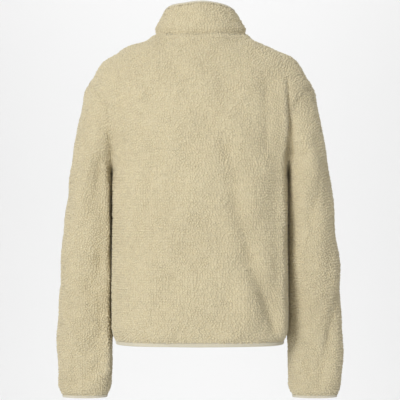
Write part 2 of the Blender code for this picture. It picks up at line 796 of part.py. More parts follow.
def boxMesh(name, low, high):
    """A plain block between two corners, for use as a piece or as a cutter."""
    x0, y0, z0 = low
    x1, y1, z1 = high
    points = [(x, y, z) for z in (z0, z1) for y in (y0, y1) for x in (x0, x1)]
    faces = [[0, 2, 3, 1], [4, 5, 7, 6], [0, 1, 5, 4], [2, 6, 7, 3], [0, 4, 6, 2], [1, 3, 7, 5]]
    return meshObject(name, points, faces, metalColour, 0.35, 1.0)


def joined(base, others, operation="UNION"):
    """The base with the others added or cut away, and they are kept as hidden helpers."""
    for other in others:
        modifier = base.modifiers.new(operation.lower(), "BOOLEAN")
        modifier.operation = operation
        modifier.solver = "EXACT"
        modifier.object = other
        other.hide_render = True
        other.display_type = "WIRE"
        other.parent = base
    return base


def placed(piece, point, out):
    """Turns a hard piece that was modelled facing -Y so that it faces along out, at this point."""
    piece.rotation_euler = (math.atan2(-out[2], -out[1]), 0.0, 0.0)
    piece.location = tuple(float(c) for c in point)


def makeZip(fronts, collar):
    path, out = chainLines(fronts[0], collar, 0)
    path, out = path * np.array([0.0, 1.0, 1.0]), unit(out * np.array([0.0, 1.0, 1.0]))
    spots = np.concatenate([[0], np.cumsum(np.linalg.norm(np.diff(path, axis=0), axis=1))])
    end = spots[-1]
    places = np.unique(np.concatenate([spots, end - np.array(openMarks) * mm]))
    line, away = resampled(path, spots, places), unit(resampled(out, spots, places))
    opened = (places - end + openMarks[0] * mm) / ((openMarks[0] - openMarks[-1]) * mm)
    opening = beadInner + np.clip(opened, 0, 1) * openBy
    for name, side, front in (("zip_tape_left", 1, fronts[0]), ("zip_tape_right", -1, fronts[1])):
        first, second = (0, 1) if side > 0 else (-1, -2)
        near, nearOut = chainLines(front, collar, first)
        far, farOut = chainLines(front, collar, second)
        edge = resampled(near + (far - near) * tapeShare, spots, places)
        edgeAway = unit(resampled(nearOut + (farOut - nearOut) * tapeShare, spots, places))
        zipTape(name, side, line, away, edge, edgeAway, opening)

    middle = end - sliderBelowTop
    point = np.array([np.interp(middle, spots, path[:, i]) for i in range(3)])
    direction = unit(np.array([np.interp(middle, spots, out[:, i]) for i in range(3)]))
    reach = beadTall - tapeBehind + sliderPlay
    behind = tapeBehind + tapeThick + sliderPlay
    half = sliderTall / 2
    plate = boxMesh(
        "zip_slider",
        (-sliderHalfWide, -(reach + sliderPlate), -half),
        (sliderHalfWide, -reach, half),
    )
    rear = boxMesh(
        "slider_rear",
        (-sliderHalfWide, behind, -half),
        (sliderHalfWide, behind + sliderPlate, half),
    )
    post = boxMesh(
        "slider_post",
        (-sliderPost, -(reach + sliderPlate / 2), half - postBelow),
        (sliderPost, behind + sliderPlate / 2, half - postAbove),
    )
    face = reach + sliderPlate
    bail = boxMesh(
        "slider_bail",
        (-bailWide / 2, -(face + bailReach), bailLow),
        (bailWide / 2, -(face - bailRoot), bailHigh),
    )
    eye = boxMesh(
        "slider_eye",
        (-bailWide, -(face + bailReach - bailBar), bailLow + bailBar),
        (bailWide, -(face + eyeInset), bailHigh - bailBar),
    )
    joined(bail, [eye], "DIFFERENCE")
    joined(plate, [rear, post, bail])
    placed(plate, point, direction)

    barOut = face + bailReach - bailBar - pullPlay - pullBar / 2
    tab = boxMesh(
        "zip_pull",
        (-pullWide / 2, -pullThick / 2, -pullLong + pullBar / 2),
        (pullWide / 2, pullThick / 2, pullBar / 2),
    )
    slot = boxMesh(
        "pull_slot",
        (-pullSlotWide / 2, -pullThick, -pullBar / 2 - pullSlotTall),
        (pullSlotWide / 2, pullThick, -pullBar / 2),
    )
    joined(tab, [slot], "DIFFERENCE")
    up = np.array([0.0, direction[2], -direction[1]])
    placed(tab, point + direction * barOut + up * pullRise, direction)

    footDown = unit(path[0] - path[1])
    box = boxMesh(
        "zip_box",
        (-boxWide / 2, -boxThick / 2, -boxTall),
        (boxWide / 2, boxThick / 2, 0.0),
    )
    placed(box, path[0] + footDown * boxDrop, np.array([0.0, footDown[2], -footDown[1]]))


for startObject in list(bpy.data.objects):
    bpy.data.objects.remove(startObject)

backPanel, frontLeft, frontRight = makeBody()
sleeveLeft = makeSleeve("sleeve_left", 1.0)
sleeveRight = makeSleeve("sleeve_right", -1.0)
collarWall = makeCollar()


def hemLine(layer, row):
    """The body's ring at one row, from the left front edge round the back to the right front edge."""
    parts = frontLeft[layer][row, :-1], backPanel[layer][row, ::-1], frontRight[layer][row, 1:]
    return np.concatenate(parts)


bindingStrip(
    "hem_binding",
    hemLine(0, 0),
    hemLine(1, 0),
    (hemLine(0, 1) + hemLine(1, 1)) / 2,
    hemClothEnd - hemEnd - edgeGap,
    bindingThick,
    False,
)
for cuffName, sleevePair in (("cuff_binding_left", sleeveLeft), ("cuff_binding_right", sleeveRight)):
    bindingStrip(
        cuffName,
        sleevePair[0][-1],
        sleevePair[1][-1],
        (sleevePair[0][-2] + sleevePair[1][-2]) / 2,
        cuffClothEnd - cuffEnd - edgeGap,
        bindingThick,
        True,
    )
bindingStrip(
    "collar_binding",
    collarWall[0][-1],
    collarWall[1][-1],
    (collarWall[0][-2] + collarWall[1][-2]) / 2,
    collarBindingTall - edgeGap,
    bindingThick,
    False,
)
makeZip((frontLeft, frontRight), collarWall)
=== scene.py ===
import json
import math

import bmesh
import bpy
import numpy as np
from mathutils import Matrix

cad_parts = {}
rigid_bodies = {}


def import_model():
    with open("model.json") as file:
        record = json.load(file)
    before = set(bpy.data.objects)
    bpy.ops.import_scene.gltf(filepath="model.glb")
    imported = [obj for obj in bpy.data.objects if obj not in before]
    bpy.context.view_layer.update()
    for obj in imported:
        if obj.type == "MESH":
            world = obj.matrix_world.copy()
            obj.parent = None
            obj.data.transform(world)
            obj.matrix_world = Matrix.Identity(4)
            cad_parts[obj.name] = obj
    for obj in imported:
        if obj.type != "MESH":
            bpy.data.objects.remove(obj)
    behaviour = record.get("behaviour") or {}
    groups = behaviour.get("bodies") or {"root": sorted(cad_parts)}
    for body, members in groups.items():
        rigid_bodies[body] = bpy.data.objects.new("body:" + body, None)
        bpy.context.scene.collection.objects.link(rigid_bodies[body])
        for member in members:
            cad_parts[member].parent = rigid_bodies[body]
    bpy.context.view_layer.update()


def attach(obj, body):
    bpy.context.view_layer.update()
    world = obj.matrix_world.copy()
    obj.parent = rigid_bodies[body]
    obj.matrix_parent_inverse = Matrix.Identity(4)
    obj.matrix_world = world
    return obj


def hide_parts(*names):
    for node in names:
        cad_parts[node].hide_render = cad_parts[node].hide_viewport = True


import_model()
print("frame loaded")

mm = 0.001

# Fine grids over the same form as the solids
sideColumns = 46
neckColumns = 18
armholeSteps = 54
lowerRows = 70
sleeveRows = 112
collarRows = 14
panelSpread = 0.94
lowerSpread = 1.15
sleeveSpread = 1.08

# Heights that pieces meet at, and the gaps at seams
seamGap = 0.15 * mm
edgeGap = 0.3 * mm
underarmHeight = -265.0 * mm
shoulderPoint = -106.0 * mm
hemClothEnd = -580.5 * mm
hemEnd = -588.0 * mm
cuffClothEnd = -687.5 * mm
cuffEnd = -693.0 * mm
zipHalfOpening = 5.0 * mm

# Level sections of the body, from above the neck to the hem
bodyColumns = ("height", "halfWidth", "back", "front", "square")
bodyTable = (
    (30, 62, 40, 38, 2.0),
    (0, 84, 60, 56, 2.0),
    (-8, 94, 65, 60, 2.0),
    (-15, 109, 69, 63, 2.0),
    (-27, 139, 76, 69, 2.0),
    (-38, 160, 81, 75, 2.0),
    (-49, 177, 86, 81, 2.0),
    (-61, 189, 91, 87, 2.05),
    (-72, 197, 95, 92, 2.1),
    (-84, 203, 99, 98, 2.15),
    (-95, 208, 103, 104, 2.2),
    (-106, 211, 107, 110, 2.25),
    (-118, 210, 110, 115, 2.3),
    (-142, 200, 114, 122, 2.4),
    (-172, 193, 118, 128, 2.5),
    (-222, 175, 120, 133, 2.6),
    (-265, 166, 119, 133, 2.7),
    (-320, 165, 117, 130, 2.7),
    (-400, 165, 114, 126, 2.7),
    (-500, 165.5, 115, 124, 2.7),
    (-555, 165.5, 116, 124, 2.7),
    (-568, 164, 115, 123, 2.7),
    (-577, 161.5, 113, 120, 2.6),
    (-584, 157, 109, 116, 2.5),
    (-590, 151, 104, 111, 2.4),
)

# Level sections of a sleeve, from the shoulder to the cuff
sleeveColumns = ("height", "inner", "outer", "middle", "halfDeep", "square")
sleeveTable = (
    (-78, 168, 172, -2, 4, 2.0),
    (-86, 150, 190, -2, 26, 2.0),
    (-95, 134, 204, -2, 42, 2.0),
    (-106, 124, 213, -2, 53, 2.1),
    (-118, 120, 218, -2, 60, 2.2),
    (-142, 122, 224, -2, 67, 2.3),
    (-172, 130, 230, -3, 73, 2.3),
    (-200, 142, 235.5, -4, 76, 2.4),
    (-222, 152, 240, -5, 76, 2.4),
    (-245, 161, 243, -6, 76, 2.4),
    (-265, 166, 246, -7, 75, 2.4),
    (-285, 167.4, 249, -8, 73, 2.4),
    (-312, 167.8, 252, -10, 70, 2.4),
    (-380, 167.8, 260, -16, 63, 2.4),
    (-448, 167.8, 266, -22, 57, 2.4),
    (-517, 167.8, 270.5, -29, 51, 2.4),
    (-574, 167.8, 272.5, -34, 46, 2.4),
    (-630, 167.8, 273.5, -40, 41, 2.4),
    (-655, 168.5, 273.3, -42, 39, 2.4),
    (-668, 168.8, 273, -43, 38, 2.3),
    (-678, 171, 270.5, -44, 36.5, 2.2),
    (-686, 175.5, 265.5, -45, 34, 2.2),
    (-694, 181, 259, -45, 31, 2.2),
)
sleeveTop = -78.0 * mm
cuffTilt = 0.14
tiltFrom = -420.0 * mm
tiltOver = 240.0 * mm
tiltMiddle = -40.0 * mm

# How widely the sleeve and the body run into each other, by height
blendColumns = ("height", "reach")
blendTable = ((-60, 22), (-106, 20), (-140, 16), (-180, 9), (-220, 5), (-255, 2.4), (-266, 1.2))

# Neck ring and the collar's top ring, as half widths and depths from above
neckHalfWidth = 84.0 * mm
neckBack = 61.0 * mm
neckFront = 72.0 * mm
topHalfWidth = 70.0 * mm
topBack = 48.0 * mm
topFront = 56.0 * mm
topHeightBack = 56.0 * mm
topHeightSide = 43.0 * mm
topHeightFront = 20.0 * mm
topCurve = 1.6
collarBulge = 3.0 * mm
bulgeSkew = 0.8

# Soft folds, a trough where the depth is below zero. Face is 1 for the back and -1 for the front. Each runs
# from one place past a second to a third, and its depth goes from the start's to the end's.
foldColumns = (
    "face", "fromX", "fromZ", "viaX", "viaZ", "toX", "toZ", "width", "startDepth", "endDepth",
)
foldTable = (
    (1, -52, -215, -76, -390, -142, -548, 18, -6.0, -9.5),
    (1, -76, -455, -84, -500, -96, -546, 20, 3.5, 4.5),
    (1, -151, -225, -152, -390, -151, -562, 11, 6.0, 8.5),
    (1, -155, -92, -158, -150, -158, -215, 9, 2.5, 4.5),
    (1, -164, -92, -170, -175, -171, -240, 5, -4.0, -8.5),
    (1, 178, -255, 178, -440, 179, -640, 9, 7.0, 8.0),
    (1, -188, -260, -188, -440, -190, -600, 17, 3.5, 3.5),
    (1, 76, -195, 90, -310, 122, -415, 19, -3.0, -4.5),
    (1, 104, -140, 84, -160, 58, -178, 30, 3.0, 3.0),
    (1, 98, -495, 80, -535, 60, -560, 24, 4.0, 4.0),
    (1, 20, -290, 20, -320, 24, -350, 28, 3.0, 3.0),
    (1, 151, -88, 151, -110, 150, -132, 9, -2.0, -2.5),
    (1, -124, -98, -127, -160, -126, -218, 13, -4.0, -3.0),
    (1, 150, -150, 150, -200, 146, -245, 12, -2.0, -3.5),
    (-1, 58, -190, 98, -360, 134, -548, 18, -4.5, -7.5),
    (-1, -68, -230, -96, -350, -112, -480, 18, -4.5, -6.0),
    (-1, 58, -475, 70, -515, 86, -556, 20, 3.5, 4.5),
    (-1, -60, -420, -58, -470, -66, -525, 22, 4.5, 3.5),
    (-1, 122, -110, 128, -165, 128, -218, 14, -4.0, -3.0),
    (-1, -122, -110, -130, -160, -130, -218, 14, -4.5, -3.0),
    (1, -222, -205, -238, -280, -206, -352, 14, -4.5, -4.5),
    (1, -264, -500, -246, -580, -226, -668, 13, -4.5, -5.5),
    (1, -238, -250, -246, -420, -250, -600, 17, -3.5, -3.5),
    (1, -196, -555, -204, -580, -218, -602, 12, -4.0, -4.0),
    (1, -188, -606, -196, -624, -208, -644, 10, -3.5, -4.0),
    (1, 186, -240, 188, -290, 198, -335, 14, -3.0, -3.5),
    (1, 184, -428, 192, -456, 207, -482, 14, -3.0, -3.5),
    (1, 182, -558, 194, -582, 210, -602, 13, -3.5, -4.0),
    (1, 186, -620, 198, -638, 216, -654, 11, -3.5, -4.0),
    (1, 252, -596, 244, -630, 236, -664, 12, -2.5, -3.5),
    (-1, 188, -296, 200, -340, 216, -384, 14, -4.0, -4.5),
    (-1, -188, -316, -200, -360, -218, -404, 14, -4.0, -4.5),
    (-1, 242, -535, 228, -580, 214, -624, 13, -4.5, -5.0),
    (-1, -242, -556, -228, -600, -214, -644, 13, -4.5, -5.0),
)
foldSteps = 5

# Slow unevenness of the fleece over the whole jacket
waveColumns = ("alongX", "alongY", "alongZ", "shift", "depth")
waveTable = (
    (110, 150, 190, 0.4, 1.1),
    (-74, 120, 96, 1.9, 0.9),
    (62, -88, 140, 3.1, 0.7),
)
zipCalm = 26.0 * mm
seamDip = 2.2 * mm
seamDipWide = 7.0 * mm
neckRidge = 2.5 * mm
neckRidgeBelow = 10.0 * mm
neckRidgeWide = 6.0 * mm
endCalm = 18.0 * mm

# Where sleeve and body hang close together, the folds fade out
sideLine = 166.5 * mm
closeWide = 10.0 * mm
closeAbove = 30.0 * mm
touch = 2.2 * mm  # how far the pile of sleeve and body leans into the gap between them
touchOver = 20.0 * mm


def steady(xs, ys):
    # A smooth curve through the points that adds no hump between them, read off at any place.
    steps = np.diff(xs)
    slopes = np.diff(ys) / steps
    inner = np.where(
        slopes[:-1] * slopes[1:] > 0,
        2 * slopes[:-1] * slopes[1:] / np.where(slopes[:-1] + slopes[1:] == 0, 1, slopes[:-1] + slopes[1:]),
        0.0,
    )
    tilt = np.concatenate([slopes[:1], inner, slopes[-1:]])
    places, values = [], []
    for i in range(len(steps)):
        u = np.linspace(0, 1, 24, endpoint=i == len(steps) - 1)
        places.append(xs[i] + u * steps[i])
        values.append(
            ys[i] * (1 + 2 * u) * (1 - u) ** 2
            + ys[i + 1] * u * u * (3 - 2 * u)
            + steps[i] * (tilt[i] * u * (1 - u) ** 2 - tilt[i + 1] * u * u * (1 - u))
        )
    places, values = np.concatenate(places), np.concatenate(values)
    return lambda v: np.interp(v, places, values)


def columnCurves(columns, rows, plain=()):
    # One smooth curve of height for each named column of a table.
    table = np.array(rows, float)[::-1]
    heights = table[:, 0] * mm
    curves = {}
    for i, name in enumerate(columns[1:], 1):
        curves[name] = steady(heights, table[:, i] * (1.0 if name in plain else mm))
    return curves


body = columnCurves(bodyColumns, bodyTable, ("square",))
sleeve = columnCurves(sleeveColumns, sleeveTable, ("square",))
blend = columnCurves(blendColumns, blendTable)


def sectionGap(x, y, halfWide, halfDeep, square):
    # How far a point is outside a level section, negative inside.
    u = np.abs(x) / halfWide + 1e-9
    v = np.abs(y) / halfDeep + 1e-9
    reach = (u**square + v**square) ** (1 / square)
    across = (u / reach) ** (square - 1) / halfWide
    along = (v / reach) ** (square - 1) / halfDeep
    return (reach - 1) / np.hypot(across, along)


def bodyGap(p):
    x, y, z = p[..., 0], p[..., 1], p[..., 2]
    deep = np.where(y > 0, body["back"](z), body["front"](z))
    return sectionGap(x, y, body["halfWidth"](z), deep, body["square"](z))


def sleeveLevel(p):
    # The height that the tilted cuff's sections are read at.
    tilt = cuffTilt * np.clip((tiltFrom - p[..., 2]) / tiltOver, 0, 1)
    return p[..., 2] + tilt * (p[..., 1] - tiltMiddle)


def sleeveGap(p):
    z = sleeveLevel(p)
    inner, outer = sleeve["inner"](z), sleeve["outer"](z)
    gap = sectionGap(
        np.abs(p[..., 0]) - (inner + outer) / 2,
        p[..., 1] - sleeve["middle"](z),
        (outer - inner) / 2,
        sleeve["halfDeep"](z),
        sleeve["square"](z),
    )
    return gap + np.maximum(0, p[..., 2] - sleeveTop)


def unionGap(p):
    one, two, reach = bodyGap(p), sleeveGap(p), blend["reach"](p[..., 2])
    share = np.clip(0.5 + 0.5 * (two - one) / reach, 0, 1)
    return two * (1 - share) + one * share - reach * share * (1 - share)


def bodySurface(p):
    return np.where(p[..., 2] > underarmHeight, unionGap(p), bodyGap(p))


def sleeveSurface(p):
    return np.where(p[..., 2] > underarmHeight, unionGap(p), sleeveGap(p))


def slopeOf(gap, p, step=0.2 * mm):
    slope = np.empty(p.shape)
    for axis in range(3):
        move = np.zeros(3)
        move[axis] = step
        slope[..., axis] = (gap(p + move) - gap(p - move)) / (2 * step)
    return slope


def unit(v):
    return v / np.maximum(np.linalg.norm(v, axis=-1, keepdims=True), 1e-12)


def settled(p, gap, rounds=16):
    # The points moved on to the surface, straight along its slope.
    for _ in range(rounds):
        slope = slopeOf(gap, p)
        size = np.linalg.norm(slope, axis=-1, keepdims=True)
        move = np.clip(gap(p)[..., None] / np.maximum(size, 0.2), -12 * mm, 12 * mm)
        p = p - 0.9 * move * slope / np.maximum(size, 1e-9)
    return p


def bodyPoint(turn, z):
    # A point of the body's own section: turn is 0 at the side, a right angle at the back's middle.
    c, s = np.cos(turn), np.sin(turn)
    power = 2 / body["square"](z)
    deep = np.where(s > 0, body["back"](z), body["front"](z))
    x = body["halfWidth"](z) * np.sign(c) * np.abs(c) ** power
    return np.stack([x, deep * np.sign(s) * np.abs(s) ** power, z + 0 * x], axis=-1)


def sleevePoint(turn, z):
    # A point of the sleeve's own section: turn is 0 outside, a right angle at the back.
    c, s = np.cos(turn), np.sin(turn)
    level = z
    for _ in range(6):
        power = 2 / sleeve["square"](level)
        inner, outer = sleeve["inner"](level), sleeve["outer"](level)
        x = (inner + outer) / 2 + (outer - inner) / 2 * np.sign(c) * np.abs(c) ** power
        y = sleeve["middle"](level) + sleeve["halfDeep"](level) * np.sign(s) * np.abs(s) ** power
        level = sleeveLevel(np.stack([x, y, z + 0 * x], axis=-1))
    return np.stack([x, y, z + 0 * x], axis=-1)


def armholeLoop():
    # Where the sleeve meets the body, from the underarm up the back to the shoulder and down the front.
    turns = np.linspace(np.pi, -np.pi, 2 * armholeSteps + 1)[:-1]
    low = np.full(turns.shape, underarmHeight)
    heights = np.linspace(underarmHeight, -90 * mm, 800)
    found = np.full(turns.shape, shoulderPoint)
    for i, turn in enumerate(turns):
        outside = bodyGap(sleevePoint(np.full(heights.shape, turn), heights)) > 0
        inside = np.nonzero(~outside)[0]
        found[i] = heights[inside[0]] if len(inside) else shoulderPoint
    found = np.where(np.abs(np.abs(turns) - np.pi) < 1e-6, low, found)
    loop = sleevePoint(turns, found)
    loop[0] = (body["halfWidth"](underarmHeight), 0.0, underarmHeight)
    return turns, loop


loopTurns, loopRaw = armholeLoop()
loopSlope = unit(unit(slopeOf(bodyGap, loopRaw)) + unit(slopeOf(sleeveGap, loopRaw)))
loopSlope[0] = (0.0, 0.0, -1.0)


def loopSettled():
    # The armhole's points moved out on to the blended surface, and no point at the underarm moved.
    p = loopRaw.copy()
    for _ in range(12):
        move = np.clip(unionGap(p), -8 * mm, 8 * mm)
        move[0] = 0.0
        p = p - move[:, None] * loopSlope * 0.8
    return p


loopOuter = loopSettled()
loopAlong = unit(np.roll(loopOuter, -1, axis=0) - np.roll(loopOuter, 1, axis=0))
loopAcross = unit(np.cross(loopAlong, loopSlope))
if loopAcross[:, 0].mean() < 0:
    loopAcross = -loopAcross


neckStart = math.acos(zipHalfOpening / neckHalfWidth)


def neckPoints(turns):
    # The neck seam: the body's surface under an oval seen from above. Turn is 0 at the side.
    x = neckHalfWidth * np.cos(turns)
    y = np.where(np.sin(turns) > 0, neckBack, neckFront) * np.sin(turns)
    high, low = np.full(x.shape, 29 * mm), np.full(x.shape, -90 * mm)
    for _ in range(40):
        z = (high + low) / 2
        out = bodyGap(np.stack([x, y, z], axis=-1)) > 0
        high, low = np.where(out, z, high), np.where(out, low, z)
    return np.stack([x, y, (high + low) / 2], axis=-1)


def onFace(face, x, z):
    # The place on the outer surface at this width and height, on the back or the front.
    near, far = 0.0, 0.2
    start = 0.0 if abs(x) < 0.16 else float(sleeve["middle"](z))
    for _ in range(40):
        y = (near + far) / 2
        if unionGap(np.array([x, start + face * y, z])) > 0:
            far = y
        else:
            near = y
    return np.array([x, start + face * near, z])


def foldLines():
    # Each fold as a bent line on the surface, with its width and its two depths.
    lines = []
    for row in foldTable:
        fold = dict(zip(foldColumns, row))
        line = []
        for t in np.linspace(0, 1, foldSteps + 1):
            early, late = (1 - t) ** 2, t**2
            x = early * fold["fromX"] + 2 * t * (1 - t) * fold["viaX"] + late * fold["toX"]
            z = early * fold["fromZ"] + 2 * t * (1 - t) * fold["viaZ"] + late * fold["toZ"]
            line.append(onFace(fold["face"], x * mm, z * mm))
        lines.append((line, fold["width"] * mm, fold["startDepth"] * mm, fold["endDepth"] * mm))
    return lines


folds = foldLines()
neckRing = neckPoints(np.linspace(-math.pi, math.pi, 73))


def nearestOnLine(p, line):
    # The distance of each point from a run of straight pieces, and how far along it the nearest place is.
    best, place = np.full(p.shape[:-1], 9.0), np.zeros(p.shape[:-1])
    for i, (a, b) in enumerate(zip(line[:-1], line[1:])):
        along = b - a
        t = np.clip(((p - a) @ along) / max(along @ along, 1e-12), 0, 1)
        away = np.linalg.norm(p - a - t[..., None] * along, axis=-1)
        place = np.where(away < best, (i + t) / (len(line) - 1), place)
        best = np.minimum(best, away)
    return best, place


def relief(p):
    # How far the cloth stands out from its plain form at each point: folds, waves and the dips at seams.
    height = np.zeros(p.shape[:-1])
    for line, width, startDepth, endDepth in folds:
        away, place = nearestOnLine(p, line)
        height += (startDepth + (endDepth - startDepth) * place) * np.exp(-((away / width) ** 2))
    calmAtZip = np.where(p[..., 1] < 0, 1 - np.exp(-((p[..., 0] / zipCalm) ** 2)), 1.0)
    for row in waveTable:
        wave = dict(zip(waveColumns, row))
        phase = sum(p[..., i] / (wave[name] * mm) for i, name in enumerate(waveColumns[:3]))
        height += wave["depth"] * mm * calmAtZip * np.sin(2 * np.pi * phase + wave["shift"])
    oneSide = np.stack([np.abs(p[..., 0]), p[..., 1], p[..., 2]], axis=-1)
    toArmhole, _ = nearestOnLine(oneSide, np.concatenate([loopOuter, loopOuter[:1]]))
    height -= seamDip * np.exp(-((toArmhole / seamDipWide) ** 2))
    toNeck, _ = nearestOnLine(p, neckRing)
    height += neckRidge * np.exp(-(((toNeck - neckRidgeBelow) / neckRidgeWide) ** 2))
    cuff = np.clip((p[..., 2] - cuffEnd) / endCalm, 0, 1)
    hem = np.clip((p[..., 2] - hemEnd) / endCalm, 0, 1)
    onBody = (np.abs(p[..., 0]) < sideLine) & (p[..., 2] < underarmHeight)
    height = height * np.where(onBody, hem, cuff)
    fromSide = np.abs(np.abs(p[..., 0]) - sideLine)
    close = (p[..., 2] < underarmHeight + closeAbove) & (fromSide < closeWide)
    height = np.where(close, height * fromSide / closeWide, height)
    underArm = np.clip((underarmHeight - p[..., 2]) / touchOver, 0, 1)
    aboveHem = np.clip((p[..., 2] - hemEnd) / touchOver, 0, 1)
    return height + touch * underArm * aboveHem * np.exp(-((fromSide / closeWide) ** 2))


def blendGrid(bottom, top, left, right):
    # A grid of turns and heights filled in between its four edges. Rows run bottom to top.
    rows, columns = len(left), len(bottom)
    s = np.linspace(0, 1, columns)[None, :, None]
    t = np.linspace(0, 1, rows)[:, None, None]
    corners = (
        (1 - s) * (1 - t) * bottom[0]
        + s * (1 - t) * bottom[-1]
        + (1 - s) * t * top[0]
        + s * t * top[-1]
    )
    return (1 - t) * bottom[None] + t * top[None] + (1 - s) * left[:, None] + s * right[:, None] - corners


def halfPanel(back):
    # Half a back panel, or a front panel, at +X: outer points, and the slope of the surface at each.
    def upArmhole(loop):
        return (loop if back else np.roll(loop[::-1], 1, axis=0))[: armholeSteps + 1]

    def firstTurn(z):
        # The turn of the back's middle, or of the front's edge at the zip.
        edge = -np.arccos((zipHalfOpening / body["halfWidth"](z)) ** (body["square"](z) / 2))
        return np.full(z.shape, math.pi / 2) if back else edge

    armhole, slopes, across, raw = map(upArmhole, (loopOuter, loopSlope, loopAcross, loopRaw))
    outward = np.array([0.0, 1.0 if back else -1.0, 0.0])
    share = np.linspace(0, 1, sideColumns + 1) ** panelSpread
    lower = hemClothEnd + (underarmHeight - hemClothEnd) * np.linspace(0, 1, lowerRows + 1) ** lowerSpread
    lowerTurns = firstTurn(lower)[:, None] * (1 - share)[None]
    lowerGrid = bodyPoint(lowerTurns, lower[:, None] + 0 * lowerTurns)

    neckTurns = np.linspace(math.pi / 2 if back else -neckStart, 0, neckColumns + 1)
    neck, neckSlope = neckSeam(neckTurns)
    ridge = np.linspace(neck[-1, 2], raw[-1, 2], sideColumns - neckColumns + 1)[1:]
    top = np.concatenate([neck, bodyPoint(0 * ridge, ridge)])
    heights = np.linspace(underarmHeight, neck[0, 2], armholeSteps + 1)
    inner = bodyPoint(firstTurn(heights), heights)
    inner[-1] = neck[0]
    upperGrid = blendGrid(lowerGrid[-1], top, inner, raw)
    grid = np.concatenate([lowerGrid[:-1], upperGrid])
    points = settled(grid, bodySurface)
    points[: lowerRows + 1, -1, 1] = 0.0
    points[-1, neckColumns:, 1] = 0.0
    points[:, 0, 0] = 0.0 if back else zipHalfOpening
    points[0, :, 2] = hemClothEnd
    slope = unit(slopeOf(bodySurface, points))
    if back:
        slope[:, 0, 0] = 0.0
    slope[-1, neckColumns:, 1] = 0.0
    slope[: lowerRows + 1, -1, 1] = 0.0
    slope[0, :, 2] = 0.0
    slope = unit(slope)
    points[-1, : neckColumns + 1] = neck
    points[lowerRows:, -1] = armhole
    slope[lowerRows:, -1] = slopes
    slope[-1, -1, 1] = 0.0
    slope = unit(slope)
    slope[-1, : neckColumns + 1] = neckSlope
    shift = np.zeros(points.shape)
    shift[lowerRows:, -1] -= across * seamGap
    shift[:lowerRows, -1] += outward * seamGap
    shift[-1, neckColumns:] += outward * seamGap
    down = unit(points[-2] - points[-1])
    shift[-1, : neckColumns + 1] += down[: neckColumns + 1] * seamGap
    return points, slope, shift


def collarTop(turns):
    # The collar's top edge, before its binding.
    s = np.sin(turns)
    deep = np.where(s > 0, topBack, topFront)
    end = np.where(s > 0, topHeightBack, topHeightFront)
    z = topHeightSide + (end - topHeightSide) * np.abs(s) ** topCurve
    return np.stack([topHalfWidth * np.cos(turns), deep * s, z], axis=-1)


def topTurn(turns, topStart):
    # The top ring's turn for a front turn of the neck ring, so that both end at the zip's opening.
    fromSide = np.where(np.cos(turns) > 0, turns, np.sign(turns) * math.pi - turns)
    wrapped = np.where(turns > math.pi, math.pi - turns, fromSide)
    scaled = wrapped * topStart / neckStart
    return np.where(np.cos(turns) > 0, scaled, math.pi - scaled)


def collarBase(turns):
    # The outward direction of the collar's cloth at the neck seam.
    step = 0.01
    along = neckPoints(turns + step) - neckPoints(turns - step)
    up = collarTop(turns) - neckPoints(turns)
    return unit(np.cross(along, up))


def neckSeam(turns):
    # The neck seam's points, and the direction halfway between the body's outward one and the collar's.
    base = neckPoints(turns)
    slope = unit(slopeOf(bodySurface, base)) + collarBase(turns)
    slope[:, 1] = np.where(np.abs(np.sin(turns)) < 1e-6, 0.0, slope[:, 1])
    slope[:, 0] = np.where(np.abs(base[:, 0]) < zipHalfOpening * 1.001, 0.0, slope[:, 0])
    return base, unit(slope)


# ---- materials
paint = {
    # The two ends of the fleece's colour: between them lie its random tone, painted shade at tuft bases and
    # in lump hollows, and painted light on tuft tips.
    "fleeceLight": (0.785, 0.70, 0.483, 1),
    "fleeceDeep": (0.62, 0.533, 0.353, 1),
    "backing": (0.66, 0.58, 0.42, 1),
    "binding": (0.83, 0.765, 0.59, 1),
    "thread": (0.86, 0.82, 0.72, 1),
    "tape": (0.62, 0.55, 0.40, 1),
    "teeth": (0.70, 0.65, 0.52, 1),
    "metal": (0.62, 0.60, 0.56, 1),
}


def nodeMaker(tree):
    # A short way to add a node, set its values and plug in its inputs.
    def make(kind, plugs=None, **values):
        node = tree.nodes.new(kind)
        for name, value in values.items():
            setattr(node, name, value)
        for place, source in (plugs or {}).items():
            if hasattr(source, "is_output"):
                tree.links.new(source, node.inputs[place])
            else:
                node.inputs[place].default_value = source
        return node

    return make


def freshMaterial(name):
    material = bpy.data.materials.new(name)
    material.use_nodes = True
    return material, material.node_tree, material.node_tree.nodes["Principled BSDF"]


fleece = {
    "driftScale": 9.0,
    "mottleScale": 110.0,
    "fineScale": 900.0,
    "fineShare": 0.25,
    "deepUpTo": 1.2,
    "lightFrom": 2.7,
    "roughness": 0.95,
    "specular": 0.15,
    "sheen": 0.45,
    "sheenRoughness": 0.5,
    "sheenTint": (1.0, 0.96, 0.86, 1),
    "bumpStrength": 0.8,
}


